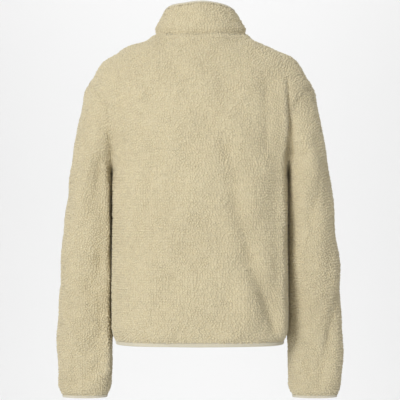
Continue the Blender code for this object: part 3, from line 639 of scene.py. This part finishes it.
def fleeceToneAndShade():
    # Colour that drifts over the cloth, and the small lumps of the pile, whose low parts are also painted
    # darker as painted shade.
    tree = bpy.data.node_groups.new("fleeceToneAndShade", "ShaderNodeTree")
    for name, kind, value in (
        ("Light", "NodeSocketColor", paint["fleeceLight"]),
        ("Deep", "NodeSocketColor", paint["fleeceDeep"]),
        ("Shade", "NodeSocketFloat", 0.5),
        ("Lump size", "NodeSocketFloat", 5.0),
    ):
        tree.interface.new_socket(name, in_out="INPUT", socket_type=kind).default_value = value
    tree.interface.new_socket("Colour", in_out="OUTPUT", socket_type="NodeSocketColor")
    tree.interface.new_socket("Height", in_out="OUTPUT", socket_type="NodeSocketFloat")
    make = nodeMaker(tree)
    given = make("NodeGroupInput")
    place = make("ShaderNodeTexCoord").outputs["Object"]
    drift = make("ShaderNodeTexNoise", {"Vector": place, "Scale": fleece["driftScale"], "Detail": 3.0})
    mottle = make("ShaderNodeTexNoise", {"Vector": place, "Scale": fleece["mottleScale"], "Detail": 3.0})
    perLump = make("ShaderNodeMath", {0: 1000.0, 1: given.outputs["Lump size"]}, operation="DIVIDE")
    lumps = make("ShaderNodeTexNoise", {"Vector": place, "Scale": perLump.outputs[0], "Detail": 4.0})
    fine = make("ShaderNodeTexNoise", {"Vector": place, "Scale": fleece["fineScale"], "Detail": 2.0})
    both = make("ShaderNodeMath", {0: drift.outputs["Fac"], 1: mottle.outputs["Fac"]}, operation="ADD")
    most = make("ShaderNodeMath", {0: both.outputs[0], 1: given.outputs["Shade"]}, operation="ADD")
    # The lumps' height is added to the colour too: painted shade in their hollows.
    third = make("ShaderNodeMath", {0: most.outputs[0], 1: lumps.outputs["Fac"]}, operation="ADD")
    mix = make(
        "ShaderNodeMapRange",
        {"Value": third.outputs[0], "From Min": fleece["deepUpTo"], "From Max": fleece["lightFrom"]},
    )
    colour = make(
        "ShaderNodeMix",
        {0: mix.outputs[0], 6: given.outputs["Deep"], 7: given.outputs["Light"]},
        data_type="RGBA",
    )
    rise = make("ShaderNodeMath", {0: fine.outputs["Fac"], 1: fleece["fineShare"]}, operation="MULTIPLY")
    height = make("ShaderNodeMath", {0: lumps.outputs["Fac"], 1: rise.outputs[0]}, operation="ADD")
    end = make("NodeGroupOutput")
    tree.links.new(colour.outputs[2], end.inputs["Colour"])
    tree.links.new(height.outputs[0], end.inputs["Height"])
    return tree


toneGroup = fleeceToneAndShade()


def fleeceMaterial(name, lumpSize, bumpDepth, shadeName=None, riseName=None, shadeDim=1.0):
    material, tree, surface = freshMaterial(name)
    make = nodeMaker(tree)
    tone = make("ShaderNodeGroup", {}, node_tree=toneGroup)
    for socket, key in (("Light", "fleeceLight"), ("Deep", "fleeceDeep")):
        tone.inputs[socket].default_value = tuple(c * shadeDim for c in paint[key][:3]) + (1,)
    tone.inputs["Lump size"].default_value = lumpSize
    # A tuft's random tone plus its height from base to tip: painted shade at the base and painted light at
    # the tip.
    if shadeName:
        shade = make("ShaderNodeAttribute", attribute_name=shadeName)
        rise = make("ShaderNodeAttribute", attribute_name=riseName)
        part = make("ShaderNodeMath", {0: shade.outputs["Fac"], 1: 0.5}, operation="MULTIPLY")
        both = make("ShaderNodeMath", {0: part.outputs[0], 1: rise.outputs["Fac"]}, operation="ADD")
        tree.links.new(both.outputs[0], tone.inputs["Shade"])
    bump = make(
        "ShaderNodeBump",
        {"Height": tone.outputs["Height"], "Distance": bumpDepth, "Strength": fleece["bumpStrength"]},
    )
    tree.links.new(tone.outputs["Colour"], surface.inputs["Base Color"])
    tree.links.new(bump.outputs[0], surface.inputs["Normal"])
    for socket, key in (
        ("Roughness", "roughness"),
        ("Specular IOR Level", "specular"),
        ("Sheen Weight", "sheen"),
        ("Sheen Roughness", "sheenRoughness"),
        ("Sheen Tint", "sheenTint"),
    ):
        surface.inputs[socket].default_value = fleece[key]
    return material


waveBand = 0.314  # how wide one band of the wave texture is at a scale of 1
ribShade = 0.84
grainShade = 0.86
roughSpread = 0.08


def ribbedMaterial(name, colour, ribWidth, depth, rough=0.9):
    # Fine ribs across a strip. U of its map runs along the strip in metres.
    material, tree, surface = freshMaterial(name)
    make = nodeMaker(tree)
    place = make("ShaderNodeUVMap", uv_map="strip")
    ribs = make(
        "ShaderNodeTexWave",
        {"Vector": place.outputs[0], "Scale": waveBand / ribWidth, "Distortion": 0.6, "Detail": 1.0},
        wave_type="BANDS",
        bands_direction="X",
    )
    where = make("ShaderNodeTexCoord").outputs["Object"]
    mottle = make("ShaderNodeTexNoise", {"Vector": where, "Scale": 120.0, "Detail": 3.0})
    both = make("ShaderNodeMath", {0: ribs.outputs["Fac"], 1: mottle.outputs["Fac"]}, operation="ADD")
    mix = make("ShaderNodeMapRange", {"Value": both.outputs[0], "From Min": 0.2, "From Max": 1.8})
    deep = tuple(c * ribShade for c in colour[:3]) + (1,)
    tint = make("ShaderNodeMix", {0: mix.outputs[0], 6: deep, 7: colour}, data_type="RGBA")
    bump = make("ShaderNodeBump", {"Height": both.outputs[0], "Distance": depth, "Strength": 0.9})
    tree.links.new(tint.outputs[2], surface.inputs["Base Color"])
    tree.links.new(bump.outputs[0], surface.inputs["Normal"])
    surface.inputs["Roughness"].default_value = rough
    surface.inputs["Sheen Weight"].default_value = 0.2
    return material


def grainMaterial(name, colour, grain, depth, rough, metallic=0.0, sheen=0.0):
    # A plain finish with a fine grain in its colour, roughness and surface.
    material, tree, surface = freshMaterial(name)
    make = nodeMaker(tree)
    where = make("ShaderNodeTexCoord").outputs["Object"]
    noise = make("ShaderNodeTexNoise", {"Vector": where, "Scale": 1000.0 / grain, "Detail": 4.0})
    dark = tuple(c * grainShade for c in colour[:3]) + (1,)
    tint = make("ShaderNodeMix", {0: noise.outputs["Fac"], 6: dark, 7: colour}, data_type="RGBA")
    rougher = make(
        "ShaderNodeMapRange",
        {"Value": noise.outputs["Fac"], "To Min": rough - roughSpread, "To Max": rough + roughSpread},
    )
    bump = make("ShaderNodeBump", {"Height": noise.outputs["Fac"], "Distance": depth, "Strength": 0.6})
    tree.links.new(tint.outputs[2], surface.inputs["Base Color"])
    tree.links.new(rougher.outputs[0], surface.inputs["Roughness"])
    tree.links.new(bump.outputs[0], surface.inputs["Normal"])
    surface.inputs["Metallic"].default_value = metallic
    surface.inputs["Sheen Weight"].default_value = sheen
    return material


# The ground under and between the tufts is made a little darker: painted shade.
groundMaterial = fleeceMaterial("fleece_ground", 3.4, 1.4 * mm, shadeDim=0.97)
tuftMaterial = fleeceMaterial("fleece_tuft", 1.5, 1.1 * mm, "shade", "rise")
backingMaterial = grainMaterial("knit_backing", paint["backing"], 1.2, 0.3 * mm, 0.9, sheen=0.2)
bindingMaterial = ribbedMaterial("binding_rib", paint["binding"], 1.3 * mm, 0.35 * mm)
threadMaterial = grainMaterial("stitch_thread", paint["thread"], 0.8, 0.1 * mm, 0.75, sheen=0.2)
tapeMaterial = grainMaterial("woven_tape", paint["tape"], 0.9, 0.2 * mm, 0.85, sheen=0.1)
teethMaterial = grainMaterial("moulded_teeth", paint["teeth"], 2.0, 0.05 * mm, 0.45)
metalMaterial = grainMaterial("satin_metal", paint["metal"], 0.6, 0.03 * mm, 0.32, metallic=1.0)
print("materials made")


# ---- cloth shells
shell = {"pileDeep": 2.1 * mm, "thick": 1.8 * mm}


def meshPiece(name, points, faces, materials, faceSlots=None, maps=None):
    # A named mesh piece whose faces are turned to look outwards, with its map where it has one.
    mesh = bpy.data.meshes.new(name)
    mesh.from_pydata(np.asarray(points).tolist(), [], faces)
    if maps:
        layer = mesh.uv_layers.new(name="strip")
        layer.data.foreach_set("uv", np.concatenate([np.array(m).reshape(-1) for m in maps]))
    mesh.update()
    work = bmesh.new()
    work.from_mesh(mesh)
    if work.calc_volume(signed=True) < 0:
        bmesh.ops.reverse_faces(work, faces=work.faces[:])
    work.to_mesh(mesh)
    work.free()
    for material in materials:
        mesh.materials.append(material)
    if faceSlots is not None:
        mesh.polygons.foreach_set("material_index", faceSlots)
    mesh.shade_smooth()
    piece = bpy.data.objects.new(name, mesh)
    bpy.context.scene.collection.objects.link(piece)
    return piece


def shellFaces(rows, columns, ring):
    # Quads of a shell: its outer side, its inner side and its edges, with 1 for each outer one.
    total = rows * columns
    last = columns if ring else columns - 1
    outer, inner, edges = [], [], []
    for row in range(rows - 1):
        for column in range(last):
            after = (column + 1) % columns
            a, b = row * columns + column, row * columns + after
            c, d = (row + 1) * columns + after, (row + 1) * columns + column
            outer.append((a, b, c, d))
            inner.append((d + total, c + total, b + total, a + total))
    top = (rows - 1) * columns
    for column in range(last):
        after = (column + 1) % columns
        edges.append((after, column, column + total, after + total))
        edges.append((top + column, top + after, top + after + total, top + column + total))
    if not ring:
        for row in range(rows - 1):
            a, b = row * columns, (row + 1) * columns
            edges.append((a, b, b + total, a + total))
            c, d = b - 1, b + columns - 1
            edges.append((d, c, c + total, d + total))
    faces = outer + inner + edges
    slots = [0] * len(outer) + [1] * len(inner) + [0] * len(edges)
    return faces, slots, len(outer)


def clothShell(name, points, slope, shift, ring=False):
    # A thin shell of cloth under the pile, which reaches the solid's own outside.
    moved = points + slope * relief(points)[..., None] + shift
    outer = moved - slope * shell["pileDeep"]
    inner = outer - slope * shell["thick"]
    flat = np.concatenate([outer.reshape(-1, 3), inner.reshape(-1, 3)])
    faces, slots, outerCount = shellFaces(outer.shape[0], outer.shape[1], ring)
    piece = meshPiece(name, flat, faces, [groundMaterial, backingMaterial], slots)
    outside = piece.data.attributes.new("outside", "BOOLEAN", "FACE")
    outside.data.foreach_set("value", [i < outerCount for i in range(len(faces))])
    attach(piece, "jacket")
    return piece, moved, slope


def mirrored(grid):
    # The same grid at -X, its columns running the other way.
    return (grid * np.array([-1.0, 1.0, 1.0]))[:, ::-1]


def sleeveGrid():
    share = np.linspace(0, 1, sleeveRows + 1) ** sleeveSpread
    grid = np.empty((sleeveRows + 1, len(loopTurns), 3))
    for i, turn in enumerate(loopTurns):
        heights = loopRaw[i, 2] * (1 - share) + cuffClothEnd * share
        grid[:, i] = sleevePoint(np.full(heights.shape, turn), heights)
    points = settled(grid, sleeveSurface)
    slope = unit(slopeOf(sleeveSurface, points))
    points[0] = loopOuter
    slope[0] = loopSlope
    slope[-1, :, 2] = 0.0
    shift = np.zeros(points.shape)
    shift[0] += loopAcross * seamGap
    return points, unit(slope), shift


def collarGrid():
    front = np.linspace(-neckStart, 0, neckColumns + 1)
    back = np.linspace(0, math.pi, 2 * neckColumns + 1)[1:-1]
    turns = np.concatenate([front, back, math.pi - front[::-1]])
    base, baseSlope = neckSeam(turns)
    topStart = math.acos(zipHalfOpening / topHalfWidth)
    top = collarTop(np.where(np.sin(turns) < 0, topTurn(turns, topStart), turns))
    share = np.linspace(0, 1, collarRows + 1)[:, None, None]
    bulge = collarBulge * np.sin(np.pi * share**bulgeSkew)
    points = base * (1 - share) + top * share + collarBase(turns) * bulge
    points[:, 0, 0] = zipHalfOpening
    points[:, -1, 0] = -zipHalfOpening
    slope = unit(np.cross(np.gradient(points, axis=1), np.gradient(points, axis=0)))
    slope[:, 0, 0] = 0.0
    slope[:, -1, 0] = 0.0
    slope = unit(slope)
    slope[0] = baseSlope
    shift = np.zeros(points.shape)
    shift[0] += unit(points[1] - points[0]) * seamGap
    return points, slope, shift


backHalf = halfPanel(True)
frontHalf = halfPanel(False)
sleeveParts = sleeveGrid()
flip = np.array([-1.0, 1.0, 1.0])
clothMakes = {
    "back": ([np.concatenate([mirrored(part), part[:, 1:]], axis=1) for part in backHalf], False),
    "front_left": (frontHalf, False),
    "front_right": ([mirrored(part) for part in frontHalf], False),
    "sleeve_left": (sleeveParts, True),
    "sleeve_right": ([part * flip for part in sleeveParts], True),
    "collar": (collarGrid(), False),
}
cloths = {}
for node, (parts, ring) in clothMakes.items():
    cloths[node] = clothShell(node + "_cloth", *parts, ring=ring)
    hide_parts(node)
    print("cloth", node, len(cloths[node][0].data.polygons), "faces")


# ---- pile: small soft tufts packed all over the outer side
pile = {
    "Spacing": 3.9 * mm,
    "Most to a square metre": 600000.0,
    "Tuft radius": 2.5 * mm,
    "Rise": 2.8 * mm,
    "Sink": 0.35 * mm,
    "Smallest": 0.8,
    "Largest": 1.2,
    "Tilt": 0.4,
}
tuftKinds = (  # how long and how wide for its radius, and how far its tip leans
    (1.2, 0.85, 0.45),
    (1.0, 1.0, -0.35),
    (1.35, 0.75, 0.0),
    (0.9, 1.1, 0.7),
)
tuftSides = 5
tuftBulge = 1.4  # how much a tuft's middle ring is wider than a plain cone's


def startTree(name, source, sizes, result):
    # A Geometry Nodes tree with its sizes, and its seed where it has one, as named inputs.
    tree = bpy.data.node_groups.new(name, "GeometryNodeTree")
    sockets = tree.interface
    sockets.new_socket(source, in_out="INPUT", socket_type="NodeSocketGeometry")
    for label, value in sizes.items():
        kind = "NodeSocketInt" if isinstance(value, int) else "NodeSocketFloat"
        sockets.new_socket(label, in_out="INPUT", socket_type=kind).default_value = value
    sockets.new_socket(result, in_out="OUTPUT", socket_type="NodeSocketGeometry")
    make = nodeMaker(tree)
    return tree, make, make("NodeGroupInput").outputs


def endTree(tree, make, instances, material):
    real = make("GeometryNodeRealizeInstances", {0: instances})
    dressed = make("GeometryNodeSetMaterial", {"Geometry": real.outputs[0], "Material": material})
    end = make("NodeGroupOutput")
    tree.links.new(dressed.outputs[0], end.inputs[0])
    return tree


def tuftTree():
    tree, make, given = startTree("fleeceTufts", "Cloth", dict(pile, Seed=3), "Tufts")

    def worked(kind, first, second, third=0.0):
        # The outcome of one sum on up to three values.
        return make("ShaderNodeMath", {0: first, 1: second, 2: third}, operation=kind).outputs[0]

    outside = make("GeometryNodeInputNamedAttribute", {"Name": "outside"}, data_type="BOOLEAN")
    spots = make(
        "GeometryNodeDistributePointsOnFaces",
        {
            "Mesh": given["Cloth"],
            "Selection": outside.outputs["Attribute"],
            "Distance Min": given["Spacing"],
            "Density Max": given["Most to a square metre"],
            "Seed": given["Seed"],
        },
        distribute_method="POISSON",
    )
    cone = make(
        "GeometryNodeMeshCone",
        {"Vertices": tuftSides, "Side Segments": 2, "Radius Top": 0.0, "Radius Bottom": 1.0, "Depth": 1.0},
        fill_type="NONE",
    )
    place = make("ShaderNodeSeparateXYZ", {0: make("GeometryNodeInputPosition").outputs[0]}).outputs
    # Each point's height in its tuft, kept as rise, from which the material paints shade at the base and
    # light at the tip.
    kept = make(
        "GeometryNodeStoreNamedAttribute",
        {"Geometry": cone.outputs["Mesh"], "Name": "rise", "Value": place["Z"]},
        data_type="FLOAT",
        domain="POINT",
    )
    bulge = worked("MULTIPLY", worked("MULTIPLY_ADD", place["Z"], tuftBulge, 1.0), given["Tuft radius"])
    squared = worked("MULTIPLY", worked("MULTIPLY", place["Z"], place["Z"]), given["Tuft radius"])
    level = worked("SUBTRACT", worked("MULTIPLY", place["Z"], given["Rise"]), given["Sink"])
    kinds = make("GeometryNodeJoinGeometry")
    for long, wide, lean in tuftKinds:
        flatX = worked("MULTIPLY", worked("MULTIPLY", place["X"], long), bulge)
        x = worked("MULTIPLY_ADD", squared, lean, flatX)
        y = worked("MULTIPLY", worked("MULTIPLY", place["Y"], wide), bulge)
        shaped = make(
            "GeometryNodeSetPosition",
            {
                "Geometry": kept.outputs[0],
                "Position": make("ShaderNodeCombineXYZ", {"X": x, "Y": y, "Z": level}).outputs[0],
            },
        )
        smooth = make("GeometryNodeSetShadeSmooth", {0: shaped.outputs[0]})
        one = make("GeometryNodeGeometryToInstance", {0: smooth.outputs[0]})
        tree.links.new(one.outputs[0], kinds.inputs[0])
    spin = make("FunctionNodeRandomValue", data_type="FLOAT_VECTOR")
    down = worked("MULTIPLY", given["Tilt"], -1.0)
    least = make("ShaderNodeCombineXYZ", {"X": down, "Y": down, "Z": -math.pi})
    most = make("ShaderNodeCombineXYZ", {"X": given["Tilt"], "Y": given["Tilt"], "Z": math.pi})
    tree.links.new(least.outputs[0], spin.inputs[0])
    tree.links.new(most.outputs[0], spin.inputs[1])
    turned = make(
        "FunctionNodeRotateRotation",
        {"Rotation": spots.outputs["Rotation"], "Rotate By": spin.outputs[0]},
        rotation_space="LOCAL",
    )
    size = make("FunctionNodeRandomValue", {2: given["Smallest"], 3: given["Largest"]}, data_type="FLOAT")
    placed = make(
        "GeometryNodeInstanceOnPoints",
        {
            "Points": spots.outputs["Points"],
            "Instance": kinds.outputs[0],
            "Pick Instance": True,
            "Rotation": turned.outputs[0],
            "Scale": size.outputs[1],
        },
    )
    shade = make("FunctionNodeRandomValue", {2: 0.0, 3: 1.0, "Seed": 7}, data_type="FLOAT")
    stored = make(
        "GeometryNodeStoreNamedAttribute",
        {"Geometry": placed.outputs[0], "Name": "shade", "Value": shade.outputs[1]},
        data_type="FLOAT",
        domain="INSTANCE",
    )
    return endTree(tree, make, stored.outputs[0], tuftMaterial)


def socketId(tree, name):
    inputs = [item for item in tree.interface.items_tree if item.in_out == "INPUT"]
    return next(item.identifier for item in inputs if item.name == name)


def grown(name, source, tree, settings):
    # Runs a node tree on a piece and keeps what it makes as a plain mesh of its own.
    modifier = source.modifiers.new("grow", "NODES")
    modifier.node_group = tree
    for label, value in settings.items():
        modifier[socketId(tree, label)] = value
    bpy.context.view_layer.update()
    evaluated = source.evaluated_get(bpy.context.evaluated_depsgraph_get())
    mesh = bpy.data.meshes.new_from_object(evaluated)
    mesh.name = name
    source.modifiers.remove(modifier)
    piece = bpy.data.objects.new(name, mesh)
    bpy.context.scene.collection.objects.link(piece)
    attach(piece, "jacket")
    return piece


tufts = {}
pileTree = tuftTree()
for seed, node in enumerate(cloths):
    settings = dict(pile, Seed=seed + 3)
    tufts[node] = grown(node + "_pile", cloths[node][0], pileTree, settings)
    tufts[node].data.calc_loop_triangles()
    print("pile", node, len(tufts[node].data.loop_triangles), "triangles")


# ---- edge bindings
binding = {"thick": 4.8 * mm, "bevel": 1.5 * mm, "collarTall": 4.0 * mm, "stitchAt": 0.3}


def bindingPiece(name, node, outerEdge, innerEdge, beforeEdge, tall, ring):
    # A soft strip round the end of the cloth, with its map along and across it in metres.
    thick, bevel = binding["thick"], binding["bevel"]
    middle = (outerEdge + innerEdge) / 2
    out = unit(outerEdge - innerEdge)
    down = unit(middle - beforeEdge)
    down = unit(down - out * (down * out).sum(-1, keepdims=True))
    corners = []
    for centreAcross, centreAlong, start in (
        (thick / 2 - bevel, bevel, -90),
        (thick / 2 - bevel, tall - bevel, 0),
        (bevel - thick / 2, tall - bevel, 90),
        (bevel - thick / 2, bevel, 180),
    ):
        for turn in np.radians(np.linspace(start, start + 90, 5)):
            corners.append((centreAcross + bevel * np.cos(turn), centreAlong + bevel * np.sin(turn)))
    count, sides = len(middle), len(corners)
    points = np.empty((count, sides, 3))
    for i, (across, along) in enumerate(corners):
        points[:, i] = middle + out * across + down * (along + edgeGap)
    lengths = np.concatenate([[0], np.cumsum(np.linalg.norm(np.diff(middle, axis=0), axis=1))])
    closing = lengths[-1] + np.linalg.norm(middle[0] - middle[-1])
    girth = np.concatenate([[0], np.cumsum(np.linalg.norm(np.diff(points[0], axis=0), axis=1))])
    faces, maps = [], []
    for i in range(count if ring else count - 1):
        after, reach = (i + 1) % count, lengths[i + 1] if i + 1 < count else closing
        for j in range(sides):
            k = (j + 1) % sides
            wide = girth[k] if k else girth[-1] + 0.4 * mm
            faces.append((i * sides + j, i * sides + k, after * sides + k, after * sides + j))
            maps.append(((lengths[i], girth[j]), (lengths[i], wide), (reach, wide), (reach, girth[j])))
    if not ring:
        faces.append(tuple(range(sides))[::-1])
        faces.append(tuple((count - 1) * sides + j for j in range(sides)))
        maps += [((0.0, 0.0),) * sides] * 2
    piece = meshPiece(name, points.reshape(-1, 3), faces, [bindingMaterial], maps=maps)
    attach(piece, "jacket")
    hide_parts(node)
    flatStart, flatEnd = points[:, 4], points[:, 5]
    seamLines[name] = (flatStart + (flatEnd - flatStart) * binding["stitchAt"], ring)
    return piece


seamLines = {}
wallThick = 6.0 * mm  # the solids' wall, which the bindings are centred on


def edgeLines(node, row):
    # The outer and inner points of one row, as the solid's wall has them.
    _, outer, slope = cloths[node]
    return outer[row], outer[row] - slope[row] * wallThick


def hemRing(row):
    left, back, right = (edgeLines(node, row) for node in ("front_left", "back", "front_right"))
    return [np.concatenate([left[i][:-1], back[i][::-1], right[i][1:]]) for i in (0, 1)]


hemOuter, hemInner = hemRing(0)
hemBefore = sum(hemRing(1)) / 2
bindings = {
    "hem": bindingPiece(
        "hem_band", "hem_binding", hemOuter, hemInner, hemBefore, hemClothEnd - hemEnd - edgeGap, False
    )
}
for side in ("left", "right"):
    outer, inner = edgeLines("sleeve_" + side, -1)
    before = sum(edgeLines("sleeve_" + side, -2)) / 2
    bindings["cuff_" + side] = bindingPiece(
        "cuff_band_" + side,
        "cuff_binding_" + side,
        outer,
        inner,
        before,
        cuffClothEnd - cuffEnd - edgeGap,
        True,
    )
outer, inner = edgeLines("collar", -1)
bindings["collar"] = bindingPiece(
    "collar_band",
    "collar_binding",
    outer,
    inner,
    sum(edgeLines("collar", -2)) / 2,
    binding["collarTall"] - edgeGap,
    False,
)
print("bindings made")


# ---- rows of stitches and of zip teeth
stitch = {"Pitch": 3.4 * mm, "Long": 2.4 * mm, "Thick": 0.45 * mm}
tooth = {"Pitch": 2.7 * mm, "Long": 1.3 * mm, "Thick": 0.7 * mm, "Wide": 2.9 * mm}
chainPlace = {"across": 1.75 * mm, "out": 1.0 * mm, "belowTop": 18.0 * mm}


def rowTree(name, upright, material):
    # Puts one small shape after another along a line: a thread's stitch, or a tooth that faces the front.
    tree, make, given = startTree(name, "Line", tooth if upright else stitch, "Row")
    curve = make("GeometryNodeMeshToCurve", {0: given["Line"]})
    spots = make(
        "GeometryNodeCurveToPoints", {"Curve": curve.outputs[0], "Length": given["Pitch"]}, mode="LENGTH"
    ).outputs
    if upright:
        size = make("ShaderNodeCombineXYZ", {"X": given["Wide"], "Y": given["Thick"], "Z": given["Long"]})
        shape = make("GeometryNodeMeshCube", {"Size": size.outputs[0]})
        way = make("ShaderNodeSeparateXYZ", {0: spots["Tangent"]}).outputs
        back = make("ShaderNodeMath", {0: way["Y"], 1: -1.0}, operation="MULTIPLY")
        lean = make("ShaderNodeMath", {0: back.outputs[0], 1: way["Z"]}, operation="ARCTAN2")
        turned = make("ShaderNodeCombineXYZ", {"X": lean.outputs[0]}).outputs[0]
    else:
        shape = make(
            "GeometryNodeMeshCylinder",
            {"Vertices": 6, "Side Segments": 1, "Radius": given["Thick"], "Depth": given["Long"]},
            fill_type="TRIANGLE_FAN",
        )
        turned = spots["Rotation"]
    smooth = make("GeometryNodeSetShadeSmooth", {0: shape.outputs[0], "Shade Smooth": not upright})
    placed = make(
        "GeometryNodeInstanceOnPoints",
        {"Points": spots["Points"], "Instance": smooth.outputs[0], "Rotation": turned},
    )
    return endTree(tree, make, placed.outputs[0], material)


def rowPiece(name, seamLine, tree, settings):
    # One piece of stitches or teeth along a line of points. A line that is a ring closes on itself.
    points, ring = seamLine
    edges = [(i, i + 1) for i in range(len(points) - 1)]
    if ring:
        edges.append((len(points) - 1, 0))
    mesh = bpy.data.meshes.new(name + "_line")
    mesh.from_pydata(np.asarray(points).tolist(), edges, [])
    guide = bpy.data.objects.new(name + "_line", mesh)
    bpy.context.scene.collection.objects.link(guide)
    piece = grown(name, guide, tree, settings)
    bpy.data.objects.remove(guide)
    return piece


stitchTree = rowTree("seamStitches", False, threadMaterial)
for name, seamLine in seamLines.items():
    rowPiece(name + "_stitches", seamLine, stitchTree, stitch)

zipRows = [(cloths["front_left"], slice(None)), (cloths["collar"], slice(1, None))]
zipOut = np.concatenate([parts[2][rows, 0] for parts, rows in zipRows]) * np.array([0.0, 1.0, 1.0])
zipPath = np.concatenate([parts[1][rows, 0] - parts[2][rows, 0] * wallThick for parts, rows in zipRows])
zipPath = zipPath * np.array([0.0, 1.0, 1.0]) + unit(zipOut) * chainPlace["out"]
toothTree = rowTree("zipTeeth", True, teethMaterial)
chain = np.concatenate([[0], np.cumsum(np.linalg.norm(np.diff(zipPath, axis=0), axis=1))])
for side, sign, begin in (("left", 1, 0.0), ("right", -1, tooth["Pitch"] / 2)):
    places = np.linspace(begin, chain[-1] - chainPlace["belowTop"], len(chain))
    line = np.stack([np.interp(places, chain, zipPath[:, i]) for i in range(3)], axis=-1)
    line[:, 0] += sign * chainPlace["across"]
    rowPiece("zip_teeth_" + side, (line, False), toothTree, tooth)
print("stitches and teeth made")


# ---- the zip's own solids get their finishes
for node, material in (
    ("zip_tape_left", tapeMaterial),
    ("zip_tape_right", tapeMaterial),
    ("zip_slider", metalMaterial),
    ("zip_box", metalMaterial),
    ("zip_pull", metalMaterial),
):
    solid = bpy.data.objects[node]
    for place in solid.material_slots:
        place.material = material


# ---- studio
studio = {
    "floorHeight": -2.6,
    "wallBack": -6.5,
    "bend": 0.8,
    "wallTop": 4.0,
    "halfWide": 5.0,
    "nearEdge": 6.0,
    "paper": (0.92, 0.92, 0.92, 1),
    "air": 0.43,
    "lampsAt": (0.0, 0.0, -0.3),
}


def sweepPaper():
    # A pale floor that curves up into the wall behind.
    low, wallY, bend = studio["floorHeight"], studio["wallBack"], studio["bend"]
    line = [(studio["nearEdge"], low)]
    for turn in np.linspace(0, math.pi / 2, 13):
        line.append((wallY + bend - bend * math.sin(turn), low + bend - bend * math.cos(turn)))
    line.append((wallY, studio["wallTop"]))
    wide = studio["halfWide"]
    points = [(side * wide, y, z) for y, z in line for side in (-1, 1)]
    faces = [(2 * i, 2 * i + 1, 2 * i + 3, 2 * i + 2) for i in range(len(line) - 1)]
    mesh = bpy.data.meshes.new("floor")
    mesh.from_pydata(points, [], faces)
    mesh.materials.append(grainMaterial("pale_paper", studio["paper"], 2.0, 0.02 * mm, 0.9))
    mesh.shade_smooth()
    piece = bpy.data.objects.new("floor", mesh)
    bpy.context.scene.collection.objects.link(piece)
    return piece


sweepPaper()

lamps = {
    "key": {"at": (1.9, 3.9, 0.5), "size": 1.3, "power": 102.0},
    "fill": {"at": (-1.6, 4.0, 0.3), "size": 2.6, "power": 7.0},
    "top": {"at": (0.3, 0.6, 2.6), "size": 2.0, "power": 8.0},
    "front": {"at": (-1.8, -2.0, 1.2), "size": 2.0, "power": 30.0},
    "wall": {"at": (0.0, -4.4, 1.9), "size": 3.2, "power": 47.0, "to": (0.0, -6.5, -0.5)},
    "wallLow": {"at": (0.0, -4.4, -2.3), "size": 2.6, "power": 38.0, "to": (0.0, -6.5, -1.0)},
}
for name, lamp in lamps.items():
    light = bpy.data.lights.new(name, "AREA")
    light.size = lamp["size"]
    light.energy = lamp["power"]
    holder = bpy.data.objects.new(name, light)
    bpy.context.scene.collection.objects.link(holder)
    holder.location = lamp["at"]
    aim = np.array(lamp.get("to", studio["lampsAt"])) - np.array(lamp["at"])
    yaw = math.atan2(-aim[0], aim[1])
    pitch = math.atan2(math.hypot(aim[0], aim[1]), -aim[2])
    holder.rotation_euler = (pitch, 0.0, yaw)

world = bpy.data.worlds.new("air")
world.use_nodes = True
world.node_tree.nodes["Background"].inputs["Color"].default_value = (1, 1, 1, 1)
world.node_tree.nodes["Background"].inputs["Strength"].default_value = studio["air"]
bpy.context.scene.world = world
bpy.context.scene.view_settings.view_transform = "Standard"

view = {"distance": 4.0, "height": -0.3154, "lens": 189.5, "sideways": 0.0}
camera = bpy.data.objects.new("camera", bpy.data.cameras.new("camera"))
bpy.context.scene.collection.objects.link(camera)
camera.location = (view["sideways"], view["distance"], view["height"])
camera.rotation_euler = (math.pi / 2, 0.0, math.pi)
camera.data.lens = view["lens"]
bpy.context.scene.camera = camera
